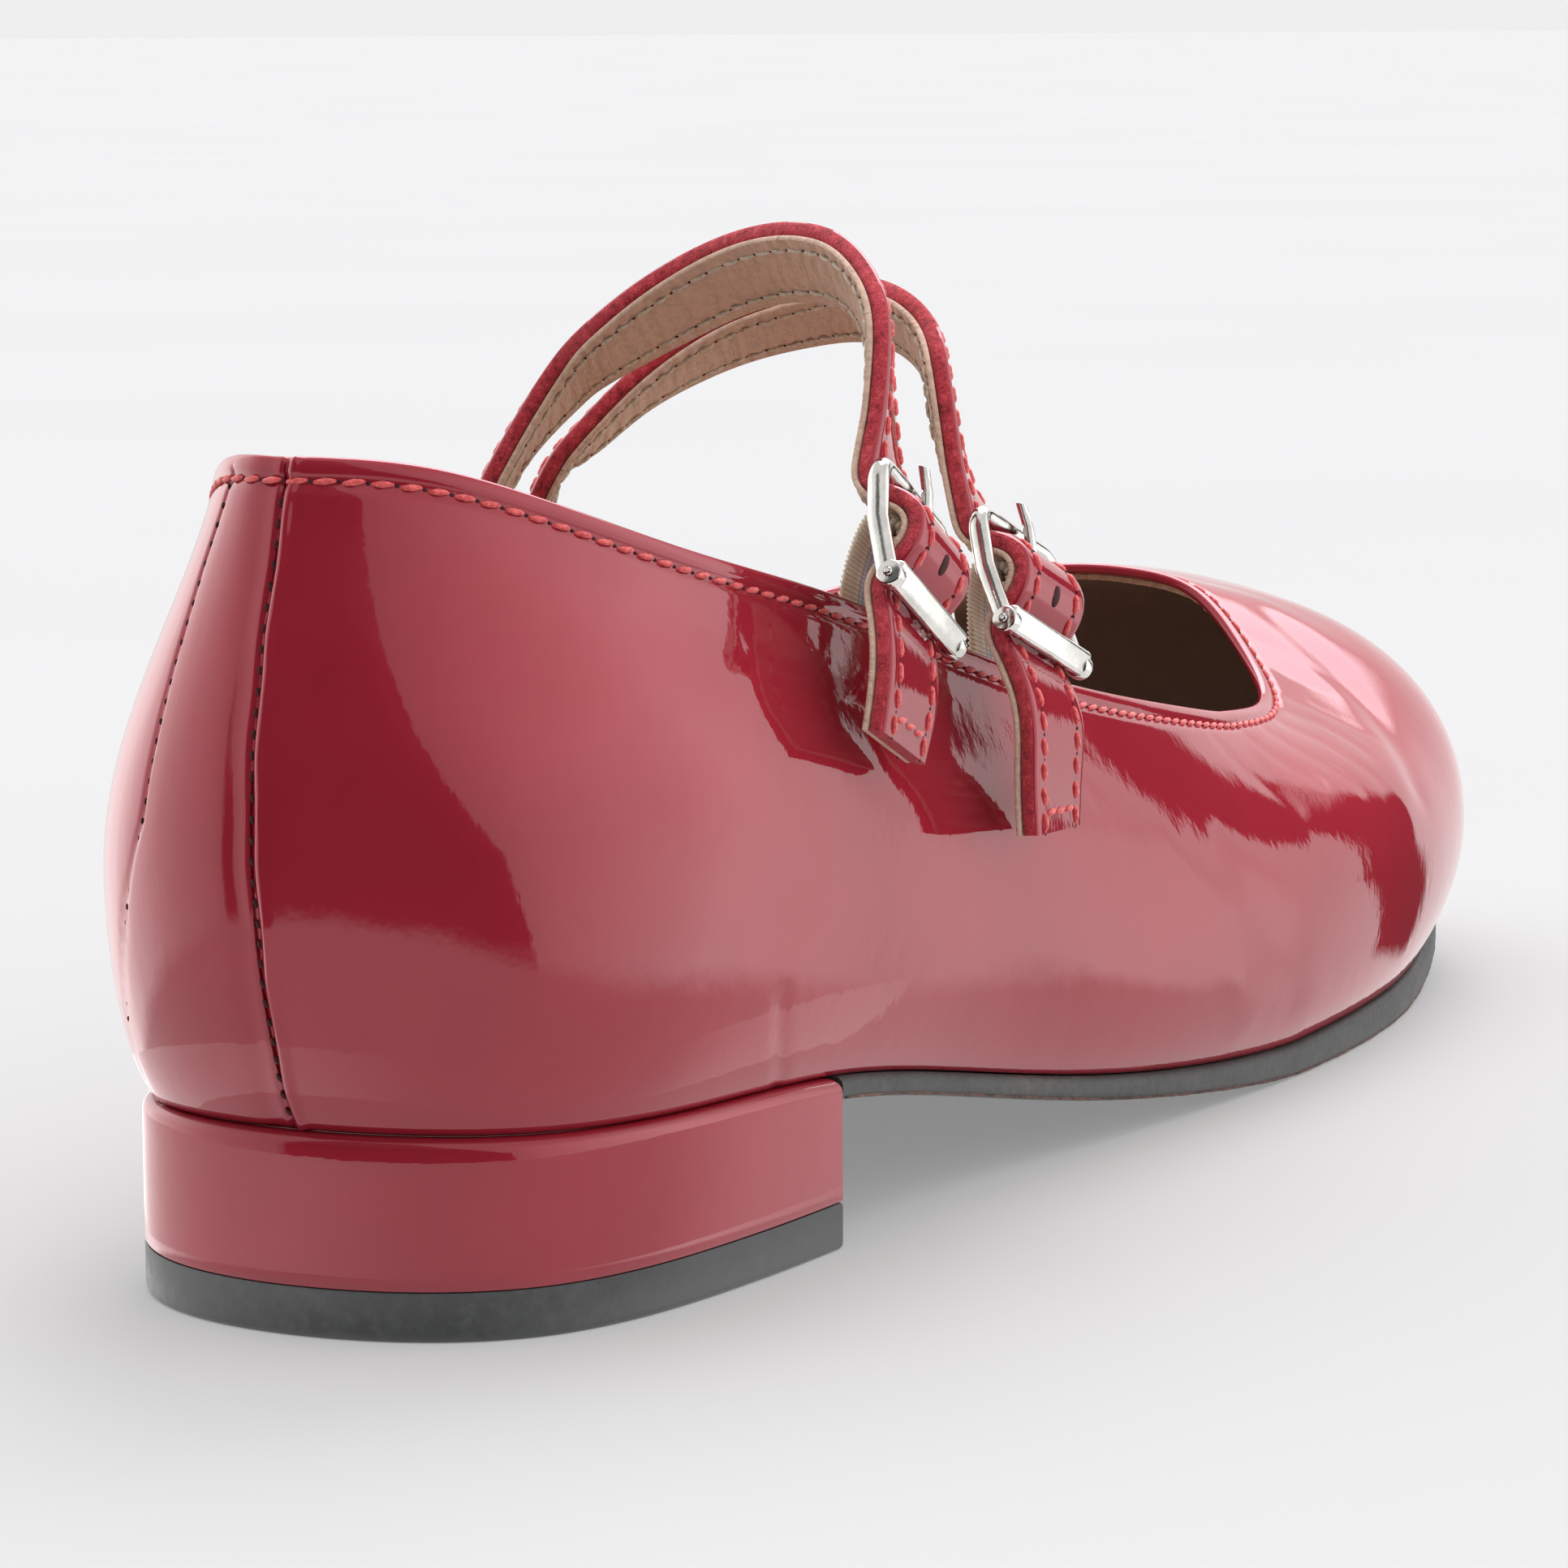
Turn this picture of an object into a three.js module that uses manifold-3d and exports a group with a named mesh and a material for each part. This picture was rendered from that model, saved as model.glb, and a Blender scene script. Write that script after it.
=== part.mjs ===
// Mary jane shoe for the right foot, with a covered low block heel and two buckled straps.
// Millimetres. +X points to the toe, +Y to the inner side of the foot, +Z up.
// The origin is the centre of the heel's ground face, and the shoe stands on z = 0.
import * as THREE from 'three';
import { mergeVertices } from 'three/addons/utils/BufferGeometryUtils.js';
import Module from 'manifold-3d';

const wasm = await Module();
wasm.setup();

// Driving sizes of the shoe
const soleLength = 250;
const ballWidth = 81;
const heelHeight = 19;
const toeSpring = 6.9;
const quarterHeight = 59;
const heelLength = 51;
const topPieceHeight = 4.5;
const wall = 1.8;
const lastingMargin = 9;
const insoleThickness = 2.4;
const soleSetback = 0.8;
const soleRound = 0.7;
const topPieceRound = 0.3;
const heelLip = 1.3;
const meetGap = 0.3;
const strapWidth = 12.8;
const strapThickness = 2.3;
const strapLead = 5;
const strapFall = 2;
const buckleReach = 6;
const flatBarReach = 6.1;
const railGap = 0.7;
const railThickness = 1.7;
const railDepth = 2;
const barRadius = 0.9;
const middleBarRadius = 0.6;
const middleBarDrop = 0.7;
const flatBarOut = 0.8;
const flatBarWidth = 2.8;
const flatBarThickness = 1.2;
const prongRadius = 0.6;
const prongTip = 3.4;
const elasticWidth = 10;
const elasticThickness = 0.8;
const elasticLead = 2;
const loopGap = 0.2;

// How finely the forms are faceted
const stepsPerSection = 4;
const acrossSteps = 4;
const slabSteps = 36;
const heelSteps = 20;
const archSteps = 34;
const tailSteps = 8;
const elasticSteps = 12;
const rodSides = 8;
const eyeSteps = 12;

const heelCentre = heelLength / 2;

// The line of the bottom of the last, a row for each tenth of the length from the back. The rise
// of the sole's underside is a share of the heel height behind the ball and of the toe spring
// before it.
const bottomLine = named(['heelShare', 'toeShare', 'soleThickness'], [
  [0.845, 0, 2.2],
  [0.8, 0, 2.2],
  [0.745, 0, 2.2],
  [0.537, 0, 2.3],
  [0.285, 0, 2.5],
  [0.1, 0, 2.9],
  [-0.005, 0, 3.5],
  [0, -0.01, 3.8],
  [0, 0.1, 3.8],
  [0, 0.56, 3.7],
  [0, 0.95, 3.6],
]);

// Sections of the upper, a row for each place round the foot, from the back of the heel along the
// outer side to the toe and back along the inner side. Lengths along the shoe are shares of the
// sole length, sideways ones of the ball width, and heights of the quarter height.
// footAlong, footSide: where the sole's edge is. topAlong, topSide, topUp: where the collar or
// throat edge is, its height counted from the bottom line at the same place. out, up: how far the
// widest line of the wall stands out, and how high it lies. lift: how long the wall stays upright
// above that line. reach, fall: how long it holds its direction at the top edge, and how steep
// that is in degrees.
const upperSections = named(
  ['footAlong', 'footSide', 'topAlong', 'topSide', 'topUp', 'out', 'up', 'lift', 'reach', 'fall'],
  [
    [0.001, 0, 0.006, 0, 1, 0.072, 0.44, 0.17, 0.17, 78],
    [0.033, -0.244, 0.037, -0.155, 0.978, 0.044, 0.42, 0.19, 0.17, 80],
    [0.124, -0.34, 0.124, -0.29, 0.853, 0.05, 0.44, 0.17, 0.17, 82],
    [0.224, -0.368, 0.226, -0.34, 0.765, 0.046, 0.39, 0.153, 0.153, 82],
    [0.328, -0.386, 0.332, -0.364, 0.71, 0.05, 0.34, 0.136, 0.136, 78],
    [0.432, -0.432, 0.436, -0.383, 0.675, 0.046, 0.288, 0.136, 0.136, 70],
    [0.536, -0.472, 0.536, -0.38, 0.64, 0.042, 0.254, 0.136, 0.136, 60],
    [0.636, -0.491, 0.624, -0.356, 0.598, 0.035, 0.237, 0.17, 0.153, 47],
    [0.732, -0.474, 0.694, -0.309, 0.589, 0.035, 0.237, 0.203, 0.17, 38],
    [0.824, -0.422, 0.737, -0.222, 0.66, 0.04, 0.21, 0.24, 0.25, 32],
    [0.91, -0.331, 0.757, -0.125, 0.75, 0.04, 0.185, 0.32, 0.37, 17],
    [0.975, -0.156, 0.759, -0.031, 0.782, 0.034, 0.18, 0.39, 0.44, 11],
    [1.002, 0.043, 0.757, 0.049, 0.786, 0.028, 0.18, 0.42, 0.48, 6],
    [0.978, 0.247, 0.748, 0.136, 0.776, 0.03, 0.195, 0.42, 0.48, 5],
    [0.912, 0.401, 0.732, 0.216, 0.756, 0.033, 0.215, 0.39, 0.43, 13],
    [0.824, 0.484, 0.696, 0.296, 0.769, 0.035, 0.237, 0.28, 0.28, 34],
    [0.728, 0.509, 0.632, 0.346, 0.75, 0.035, 0.254, 0.237, 0.203, 50],
    [0.632, 0.475, 0.56, 0.364, 0.738, 0.037, 0.288, 0.22, 0.186, 60],
    [0.536, 0.389, 0.484, 0.37, 0.749, 0.056, 0.339, 0.203, 0.186, 70],
    [0.432, 0.309, 0.408, 0.37, 0.768, 0.086, 0.373, 0.186, 0.186, 78],
    [0.328, 0.284, 0.328, 0.342, 0.793, 0.09, 0.407, 0.17, 0.17, 84],
    [0.224, 0.309, 0.228, 0.325, 0.806, 0.072, 0.37, 0.2, 0.17, 84],
    [0.124, 0.34, 0.124, 0.28, 0.868, 0.046, 0.35, 0.22, 0.17, 82],
    [0.033, 0.244, 0.037, 0.14, 0.98, 0.04, 0.36, 0.22, 0.17, 80],
  ],
);
const toeSection = 12;
const sectionCount = upperSections.length;

// The arches of the straps, from the inner side over the instep to the buckle. A row gives the
// rear corner of the strap's outer face: its distance along and across the shoe, and its height
// above the bottom line, as shares like those of the upper. turn, tip: how far the width of the
// strap points inward and downward from the toe direction, in degrees.
const arches = {
  rear: named(['along', 'side', 'up', 'turn', 'tip'], [
    [0.296, 0.247, 0.971, 27, 16],
    [0.306, 0.183, 1.141, 24, 20],
    [0.3, 0.12, 1.216, 20, 23],
    [0.299, 0.054, 1.282, 15, 27],
    [0.3, -0.012, 1.336, 12, 29],
    [0.294, -0.09, 1.372, 11, 30],
    [0.283, -0.18, 1.385, 12, 31],
    [0.272, -0.262, 1.365, 15, 31],
    [0.26, -0.32, 1.315, 18, 31],
    [0.248, -0.36, 1.255, 22, 31],
    [0.238, -0.381, 1.175, 23, 31],
  ]),
  front: named(['along', 'side', 'up', 'turn', 'tip'], [
    [0.35, 0.267, 0.972, 28, 8],
    [0.36, 0.232, 1.069, 27, 12],
    [0.37, 0.172, 1.171, 25, 16],
    [0.382, 0.107, 1.256, 23, 20],
    [0.392, 0.045, 1.31, 21, 22],
    [0.388, -0.05, 1.343, 20, 24],
    [0.375, -0.15, 1.352, 19, 26],
    [0.36, -0.235, 1.318, 19, 27],
    [0.349, -0.285, 1.266, 20, 27],
    [0.337, -0.315, 1.21, 22, 26],
    [0.329, -0.336, 1.13, 22, 25],
  ]),
};

// Where each strap starts inside the collar, how its buckle lies and how its free end hangs.
// root, elasticRoot: the sections of the upper at the rear and the front corner of the start of
// the strap and of the elastic. turn, tip: the direction of the bars, as for the width of the
// strap. lean: how far the rails lean inward, in degrees. enters: how far out of the bars' plane
// the strap comes to the top bar, as a share of its thickness, and turned how far.
const fastenings = {
  rear: {
    root: [20.4, 19.87],
    middle: { along: 0.228, side: -0.423, up: 0.838 },
    turn: 0,
    tip: 30,
    lean: 15,
    enters: { out: 0.17, turn: 15 },
    elasticRoot: [3.16, 3.54],
    tail: named(['along', 'side', 'up', 'turn', 'tip'], [
      [0.18, -0.448, 0.682, 2, 24],
      [0.173, -0.448, 0.565, 5, 21],
    ]),
  },
  front: {
    root: [19.85, 19.32],
    middle: { along: 0.328, side: -0.431, up: 0.816 },
    turn: -5,
    tip: 22,
    lean: 24,
    enters: { out: -0.35, turn: 14 },
    elasticRoot: [4.16, 4.54],
    tail: named(['along', 'side', 'up', 'turn', 'tip'], [
      [0.287, -0.478, 0.62, -1, 13],
      [0.286, -0.484, 0.51, 1, 7],
      [0.287, -0.486, 0.402, 3, 3],
    ]),
  },
};

// Reading a table by column names
function named(columns, rows) {
  return rows.map((row) => Object.fromEntries(columns.map((name, i) => [name, row[i]])));
}

// Control values of the smooth curve (a uniform cubic B-spline) that passes through the values
function controlsThrough(values, at) {
  const rounds = 24;
  let controls = values.slice();
  for (let round = 0; round < rounds; round += 1) {
    controls = controls.map((c, i) => {
      const met = (at(controls, i - 1) + 4 * c + at(controls, i + 1)) / 6;
      return c + (values[i] - met);
    });
  }
  return controls;
}

function splineValue(controls, at, place) {
  const i = Math.floor(place);
  const t = place - i;
  const weights = [(1 - t) ** 3, 3 * t ** 3 - 6 * t * t + 4, -3 * t ** 3 + 3 * t * t + 3 * t + 1, t ** 3];
  return weights.reduce((sum, weight, k) => sum + weight * at(controls, i - 1 + k), 0) / 6;
}

// Values past the ends of an open table go on in a straight line, and those of a loop come round
function openAt(values, i) {
  const last = values.length - 1;
  if (i < 0) return 2 * values[0] - values[-i];
  if (i > last) return 2 * values[last] - values[2 * last - i];
  return values[i];
}

function loopAt(values, i) {
  return values[(i + values.length) % values.length];
}

// A table as a function that gives every column's smooth value at a place between its rows
function smoothTable(rows, at) {
  const columns = Object.keys(rows[0]);
  const controls = {};
  for (const name of columns) controls[name] = controlsThrough(rows.map((row) => row[name]), at);
  return (place) => {
    const values = columns.map((name) => [name, splineValue(controls[name], at, place)]);
    return Object.fromEntries(values);
  };
}

const bottomAt = smoothTable(bottomLine, openAt);
const sectionAt = smoothTable(upperSections, loopAt);

// The bottom of the last and the sole
function soleUnderside(x) {
  const share = Math.min(Math.max(x / soleLength, 0), 1);
  const row = bottomAt(share * (bottomLine.length - 1));
  return Math.max(0, row.heelShare * heelHeight + row.toeShare * toeSpring);
}

function soleTop(x) {
  const share = Math.min(Math.max(x / soleLength, 0), 1);
  return soleUnderside(x) + bottomAt(share * (bottomLine.length - 1)).soleThickness;
}

// The outline of the sole at a place round the foot, moved in by an inset
function outlinePoint(place, inset = 0) {
  const row = sectionAt((place + sectionCount) % sectionCount);
  const point = new THREE.Vector2(row.footAlong * soleLength, row.footSide * ballWidth);
  return point.addScaledVector(outlineNormal(place), -inset);
}

// Level direction that points out of the shoe at a place round the foot
function outlineNormal(place) {
  const step = 0.05;
  const before = sectionAt((place - step + sectionCount) % sectionCount);
  const after = sectionAt((place + step) % sectionCount);
  const along = (after.footAlong - before.footAlong) * soleLength;
  const side = (after.footSide - before.footSide) * ballWidth;
  return new THREE.Vector2(side, -along).normalize();
}

// A point given by shares of the sole length, the ball width and the quarter height
function spot({ along, side, up }) {
  const x = along * soleLength;
  return new THREE.Vector3(x, side * ballWidth, soleTop(x) + up * quarterHeight);
}

// A cubic curve of four control points
function bezier(points, t) {
  const s = 1 - t;
  const weights = [s ** 3, 3 * s * s * t, 3 * s * t * t, t ** 3];
  const result = new THREE.Vector3();
  points.forEach((point, i) => result.addScaledVector(point, weights[i]));
  return result;
}

// The outside of the upper at one place round the foot: from the inner edge of the lasting margin
// out to the feather line, up to the widest line and on to the top edge
function upperProfile(place) {
  const above = upperCurve(place);
  const below = lowerCurve(place);
  const profile = [];
  const marginShares = [1, 0.45];
  for (const share of marginShares) {
    const point = outlinePoint(place, soleSetback + lastingMargin * share);
    profile.push(new THREE.Vector3(point.x, point.y, soleTop(point.x) + meetGap));
  }
  const stepsBelow = 3;
  const stepsAbove = 6;
  for (let i = 0; i < stepsBelow; i += 1) profile.push(bezier(below, i / stepsBelow));
  for (let i = 0; i <= stepsAbove; i += 1) profile.push(bezier(above, i / stepsAbove));
  return profile;
}

// The feather line and the widest line of the upper at one place round the foot
function upperFoot(place) {
  const row = sectionAt((place + sectionCount) % sectionCount);
  const out = outlineNormal(place);
  const outward = new THREE.Vector3(out.x, out.y, 0);
  const foot = outlinePoint(place, soleSetback);
  const floor = soleTop(foot.x) + meetGap;
  const feather = new THREE.Vector3(foot.x, foot.y, floor);
  const widest = feather.clone().addScaledVector(outward, row.out * ballWidth + soleSetback);
  widest.z = floor + row.up * quarterHeight;
  return { row, outward, floor, feather, widest };
}

// The curve from the feather line up to the widest line
function lowerCurve(place) {
  const { row, outward, floor, feather, widest } = upperFoot(place);
  const featherHandle = feather.clone().addScaledVector(outward, wall).setZ(floor + wall * 1.2);
  const dropHandle = widest.clone().setZ(widest.z - row.up * quarterHeight * 0.5);
  return [feather, featherHandle, dropHandle, widest];
}

// The curve from the widest line up to the collar or throat edge
function upperCurve(place) {
  const { row, outward, widest } = upperFoot(place);
  const top = spot({ along: row.topAlong, side: row.topSide, up: row.topUp });
  const outOfTop = new THREE.Vector3(widest.x - top.x, widest.y - top.y, 0);
  outOfTop.addScaledVector(outward, wall * 3).normalize();
  const fall = THREE.MathUtils.degToRad(row.fall);
  const reach = row.reach * quarterHeight;
  const topHandle = top.clone().addScaledVector(outOfTop, Math.cos(fall) * reach);
  topHandle.z -= Math.sin(fall) * reach;
  const liftHandle = widest.clone().setZ(widest.z + row.lift * quarterHeight);
  return [widest, liftHandle, topHandle, top];
}

// The outward normals of a surface given as rings of points, by the neighbours of each point
function surfaceNormals(rings) {
  const count = rings.length;
  return rings.map((ring, i) => ring.map((point, j) => {
    const before = rings[(i + count - 1) % count][j];
    const after = rings[(i + 1) % count][j];
    const round = after.clone().sub(before);
    const lower = ring[Math.max(j - 1, 0)];
    const upper = ring[Math.min(j + 1, ring.length - 1)];
    const down = point.clone().sub(lower);
    const up = upper.clone().sub(point);
    const mean = down.normalize().add(up.normalize());
    return round.cross(mean).normalize();
  }));
}

// A geometry whose points at one place are merged, without the triangles that this flattens
function closedGeometry(positions, index) {
  const loose = new THREE.BufferGeometry();
  loose.setAttribute('position', new THREE.Float32BufferAttribute(positions, 3));
  loose.setIndex(index);
  const geometry = mergeVertices(loose, 1e-3);
  const corners = Array.from(geometry.index.array);
  const kept = [];
  for (let i = 0; i < corners.length; i += 3) {
    const [a, b, c] = corners.slice(i, i + 3);
    if (a !== b && b !== c && c !== a) kept.push(a, b, c);
  }
  geometry.setIndex(kept);
  return geometry;
}

// A closed solid swept through sections, each a closed loop of points
function loftMesh(sections, closed) {
  const size = sections[0].length;
  const positions = sections.flat().flatMap((p) => [p.x, p.y, p.z]);
  const index = [];
  const spans = closed ? sections.length : sections.length - 1;
  for (let i = 0; i < spans; i += 1) {
    const next = (i + 1) % sections.length;
    for (let j = 0; j < size; j += 1) {
      const k = (j + 1) % size;
      const corners = [i * size + j, next * size + j, next * size + k, i * size + k];
      index.push(corners[0], corners[1], corners[2], corners[0], corners[2], corners[3]);
    }
  }
  if (!closed) {
    const end = (sections.length - 1) * size;
    for (let j = 1; j < size - 1; j += 1) {
      index.push(0, j, j + 1);
      index.push(end, end + j + 1, end + j);
    }
  }
  return closedGeometry(positions, index);
}

function upperGeometry() {
  const rings = [];
  const places = sectionCount * stepsPerSection;
  for (let i = 0; i < places; i += 1) rings.push(upperProfile(i / stepsPerSection));
  const normals = surfaceNormals(rings);
  const sections = rings.map((ring, i) => {
    const inner = ring.map((point, j) => point.clone().addScaledVector(normals[i][j], -wall));
    return [...ring, ...inner.reverse()];
  });
  return loftMesh(sections, true);
}

// Slabs: pieces that follow the outline of the sole. Each ring gives an inset and the height at a
// distance along the shoe, from the lowest ring up, and the first and the last ring are closed.
function slabMesh(places, rings) {
  const grids = rings.map((ring) => slabGrid(places, ring));
  const quads = [];
  for (let r = 0; r < grids.length - 1; r += 1) {
    const lower = gridBorder(grids[r]);
    const upper = gridBorder(grids[r + 1]);
    lower.forEach((point, j) => {
      const k = (j + 1) % lower.length;
      quads.push([point, lower[k], upper[k], upper[j]]);
    });
  }
  quads.push(...gridQuads(grids[0]).map((quad) => quad.reverse()));
  quads.push(...gridQuads(grids[grids.length - 1]));
  return quadGeometry(quads);
}

// Rows of points across the slab, a row for each pair of places on the outline
function slabGrid(places, ring) {
  return places.outer.map((_, i) => {
    const outer = outlinePoint(places.outer[i], ring.inset);
    const inner = outlinePoint(places.inner[i], ring.inset);
    const row = [];
    for (let a = 0; a <= acrossSteps; a += 1) {
      const flat = outer.clone().lerp(inner, a / acrossSteps);
      row.push(new THREE.Vector3(flat.x, flat.y, ring.height(flat.x)));
    }
    return row;
  });
}

function gridBorder(rows) {
  const last = rows.length - 1;
  const outer = rows.map((row) => row[0]);
  const front = rows[last].slice(1, -1);
  const inner = rows.map((row) => row[acrossSteps]).reverse();
  const back = rows[0].slice(1, -1).reverse();
  return [...outer, ...front, ...inner, ...back];
}

function gridQuads(rows) {
  const quads = [];
  for (let i = 0; i < rows.length - 1; i += 1) {
    for (let a = 0; a < acrossSteps; a += 1) {
      quads.push([rows[i][a], rows[i + 1][a], rows[i + 1][a + 1], rows[i][a + 1]]);
    }
  }
  return quads;
}

function quadGeometry(quads) {
  const corners = quads.flatMap(([p, q, r, s]) => [p, q, r, p, r, s]);
  return closedGeometry(corners.flatMap((p) => [p.x, p.y, p.z]), corners.map((_, i) => i));
}

// Places on the outer and the inner half of the outline, in pairs between two distances along
// the shoe
function pairedPlaces(startX, endX, count) {
  const spread = (side) => {
    const from = placeAlong(startX, side, toeSection);
    const to = placeAlong(endX, side, toeSection);
    return Array.from({ length: count + 1 }, (_, i) => from + ((to - from) * i) / count);
  };
  return { outer: spread(0), inner: spread(sectionCount) };
}

// The place on one half of the outline that lies at a distance along the shoe
function placeAlong(x, from, to) {
  const rounds = 30;
  let low = from;
  let high = to;
  for (let i = 0; i < rounds; i += 1) {
    const middle = (low + high) / 2;
    if (outlinePoint(middle).x < x) low = middle;
    else high = middle;
  }
  return (low + high) / 2;
}

// A material and a named mesh for each piece
const finishes = {
  patent: new THREE.MeshStandardMaterial({ color: 0xa8192e, roughness: 0.12, metalness: 0 }),
  rubber: new THREE.MeshStandardMaterial({ color: 0x3c3e40, roughness: 0.6, metalness: 0 }),
  lining: new THREE.MeshStandardMaterial({ color: 0xc69c7c, roughness: 0.8, metalness: 0 }),
  nickel: new THREE.MeshStandardMaterial({ color: 0xd8d6d0, roughness: 0.18, metalness: 1 }),
  elastic: new THREE.MeshStandardMaterial({ color: 0xb8a98c, roughness: 0.9, metalness: 0 }),
};

const shoe = new THREE.Group();
shoe.position.x = -heelCentre;

function addPiece(name, geometry, finish) {
  const mesh = new THREE.Mesh(geometry, finishes[finish]);
  mesh.name = name;
  shoe.add(mesh);
}

function outsoleGeometry() {
  const places = pairedPlaces(heelLength + meetGap, soleLength, slabSteps);
  return slabMesh(places, [
    { inset: soleRound, height: soleUnderside },
    { inset: 0, height: (x) => soleUnderside(x) + soleRound },
    { inset: 0, height: (x) => soleTop(x) - soleRound },
    { inset: soleRound * 0.6, height: soleTop },
  ]);
}

// The insole lies on the lasting margin, inside the wall
function insoleGeometry() {
  const floor = (x) => soleTop(x) + wall + 2 * meetGap;
  const places = pairedPlaces(-soleLength, 2 * soleLength, slabSteps);
  return slabMesh(places, [
    { inset: soleSetback + wall, height: floor },
    { inset: soleSetback + wall * 0.5, height: (x) => floor(x) + insoleThickness },
  ]);
}

// The covered heel follows the seat of the last, with a soft lip round its top
function heelBlockGeometry() {
  const places = pairedPlaces(-soleLength, heelLength, heelSteps);
  return slabMesh(places, [
    { inset: 0, height: () => topPieceHeight + meetGap },
    { inset: 0, height: (x) => soleTop(x) - heelLip },
    { inset: heelLip * 0.3, height: (x) => soleTop(x) - heelLip * 0.3 },
    { inset: heelLip, height: soleTop },
  ]);
}

function heelTopPieceGeometry() {
  const places = pairedPlaces(-soleLength, heelLength, heelSteps);
  return slabMesh(places, [
    { inset: topPieceRound, height: () => 0 },
    { inset: 0, height: () => topPieceRound * 1.7 },
    { inset: 0, height: () => topPieceHeight },
  ]);
}

// A point on the wall of the upper, at a share of the way from the widest line (0) to the top edge
// (1), moved out of the wall by a distance, or into the shoe by a negative one
function wallPoint(place, share, distance) {
  const step = 0.02;
  const curve = (where) => bezier(upperCurve(where), share);
  const round = curve(place + step).sub(curve(place - step));
  const up = bezier(upperCurve(place), share + step).sub(bezier(upperCurve(place), share - step));
  return curve(place).addScaledVector(round.cross(up).normalize(), distance);
}

// The direction of a width, turned inward and tipped down from the toe direction
function widthDirection({ turn, tip }) {
  const level = Math.cos(THREE.MathUtils.degToRad(tip));
  const angle = THREE.MathUtils.degToRad(turn);
  const down = Math.sin(THREE.MathUtils.degToRad(tip));
  return new THREE.Vector3(Math.cos(angle) * level, Math.sin(angle) * level, -down);
}

// The frame of a buckle: across along its bars, up along its rails, and out of its face
function buckleFrame(fastening) {
  const middle = spot(fastening.middle);
  const across = widthDirection(fastening);
  const lean = THREE.MathUtils.degToRad(fastening.lean);
  const leaning = new THREE.Vector3(0, Math.sin(lean), Math.cos(lean));
  const up = leaning.addScaledVector(across, -leaning.dot(across)).normalize();
  const out = across.clone().cross(up);
  const at = (a, u, o) => {
    const point = middle.clone().addScaledVector(across, a);
    return point.addScaledVector(up, u).addScaledVector(out, o);
  };
  return { across, up, out, at };
}

// Stations of a band: its rear edge and the direction of its width, smoothly through chosen ones
function smoothStations(stations, count) {
  const rows = stations.map(({ edge, width }) => ({
    x: edge.x, y: edge.y, z: edge.z, widthX: width.x, widthY: width.y, widthZ: width.z,
  }));
  const at = smoothTable(rows, openAt);
  const last = rows.length - 1;
  return Array.from({ length: count + 1 }, (_, i) => {
    const row = at(Math.min((i * last) / count, last - 1e-6));
    return {
      edge: new THREE.Vector3(row.x, row.y, row.z),
      width: new THREE.Vector3(row.widthX, row.widthY, row.widthZ).normalize(),
    };
  });
}

// The direction out of a band's outer face at one of its stations
function faceDirection(stations, i) {
  const before = stations[Math.max(i - 1, 0)].edge;
  const after = stations[Math.min(i + 1, stations.length - 1)].edge;
  return stations[i].width.clone().cross(before.clone().sub(after)).normalize();
}

// Stations on a band's outer face, moved in by a distance
function movedIn(stations, distance) {
  return stations.map(({ edge, width }, i) => {
    const moved = edge.clone().addScaledVector(faceDirection(stations, i), -distance);
    return { edge: moved, width };
  });
}

// A flat band swept through the stations of its middle surface
function bandMesh(stations, width, thickness) {
  const sections = stations.map((station, i) => {
    const out = faceDirection(stations, i).multiplyScalar(thickness / 2);
    const near = station.edge;
    const far = near.clone().addScaledVector(station.width, width);
    return [near.clone().sub(out), near.clone().add(out), far.clone().add(out), far.clone().sub(out)];
  });
  return loftMesh(sections, false);
}

// The path of a band past rods, given in the frame of a buckle by up and out. reach: how far from
// the axis of the rod the band passes, positive where it passes outside and negative inside.
function woundPath(rods, steps) {
  const spans = rods.slice(1).map((rod, i) => {
    const up = rod.up - rods[i].up;
    const out = rod.out - rods[i].out;
    const length = Math.hypot(up, out);
    const lean = Math.asin((rods[i].reach - rod.reach) / length);
    return Math.atan2(-up, out) + lean;
  });
  const path = [];
  rods.forEach((rod, i) => {
    const from = spans[Math.max(i - 1, 0)];
    const to = spans[Math.min(i, spans.length - 1)];
    const count = rod.reach === 0 ? 0 : steps;
    for (let k = 0; k <= count; k += 1) {
      const angle = count === 0 ? from : from + ((to - from) * k) / count;
      path.push({ up: rod.up + rod.reach * Math.cos(angle), out: rod.out + rod.reach * Math.sin(angle) });
    }
  });
  return path;
}

// Rods and bars: sections of one outline along a list of points. side: the direction in which the
// outline's first size lies.
function barMesh(points, side, outline) {
  const sections = points.map((point, i) => {
    const before = points[Math.max(i - 1, 0)];
    const after = points[Math.min(i + 1, points.length - 1)];
    const second = side.clone().cross(after.clone().sub(before)).normalize();
    return outline.map(([a, b]) => point.clone().addScaledVector(side, a).addScaledVector(second, b));
  });
  return loftMesh(sections, false);
}

function oval(width, depth) {
  return Array.from({ length: rodSides }, (_, i) => {
    const angle = (2 * Math.PI * (i + 0.5)) / rodSides;
    return [(Math.cos(angle) * width) / 2, (Math.sin(angle) * depth) / 2];
  });
}

// A plate outline with its corners cut off
function plate(width, depth) {
  const cut = depth * 0.3;
  const a = width / 2;
  const b = depth / 2;
  return [
    [a, cut - b], [a, b - cut], [a - cut, b], [cut - a, b],
    [-a, b - cut], [-a, cut - b], [cut - a, -b], [a - cut, -b],
  ];
}

// Solids to join and cut, and the way back to a geometry
function solidOf(geometry) {
  return new wasm.Manifold(new wasm.Mesh({
    numProp: 3,
    vertProperties: Float32Array.from(geometry.getAttribute('position').array),
    triVerts: Uint32Array.from(geometry.index.array),
  }));
}

function geometryOf(solid) {
  const mesh = solid.getMesh();
  return closedGeometry(Array.from(mesh.vertProperties), Array.from(mesh.triVerts));
}

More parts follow.
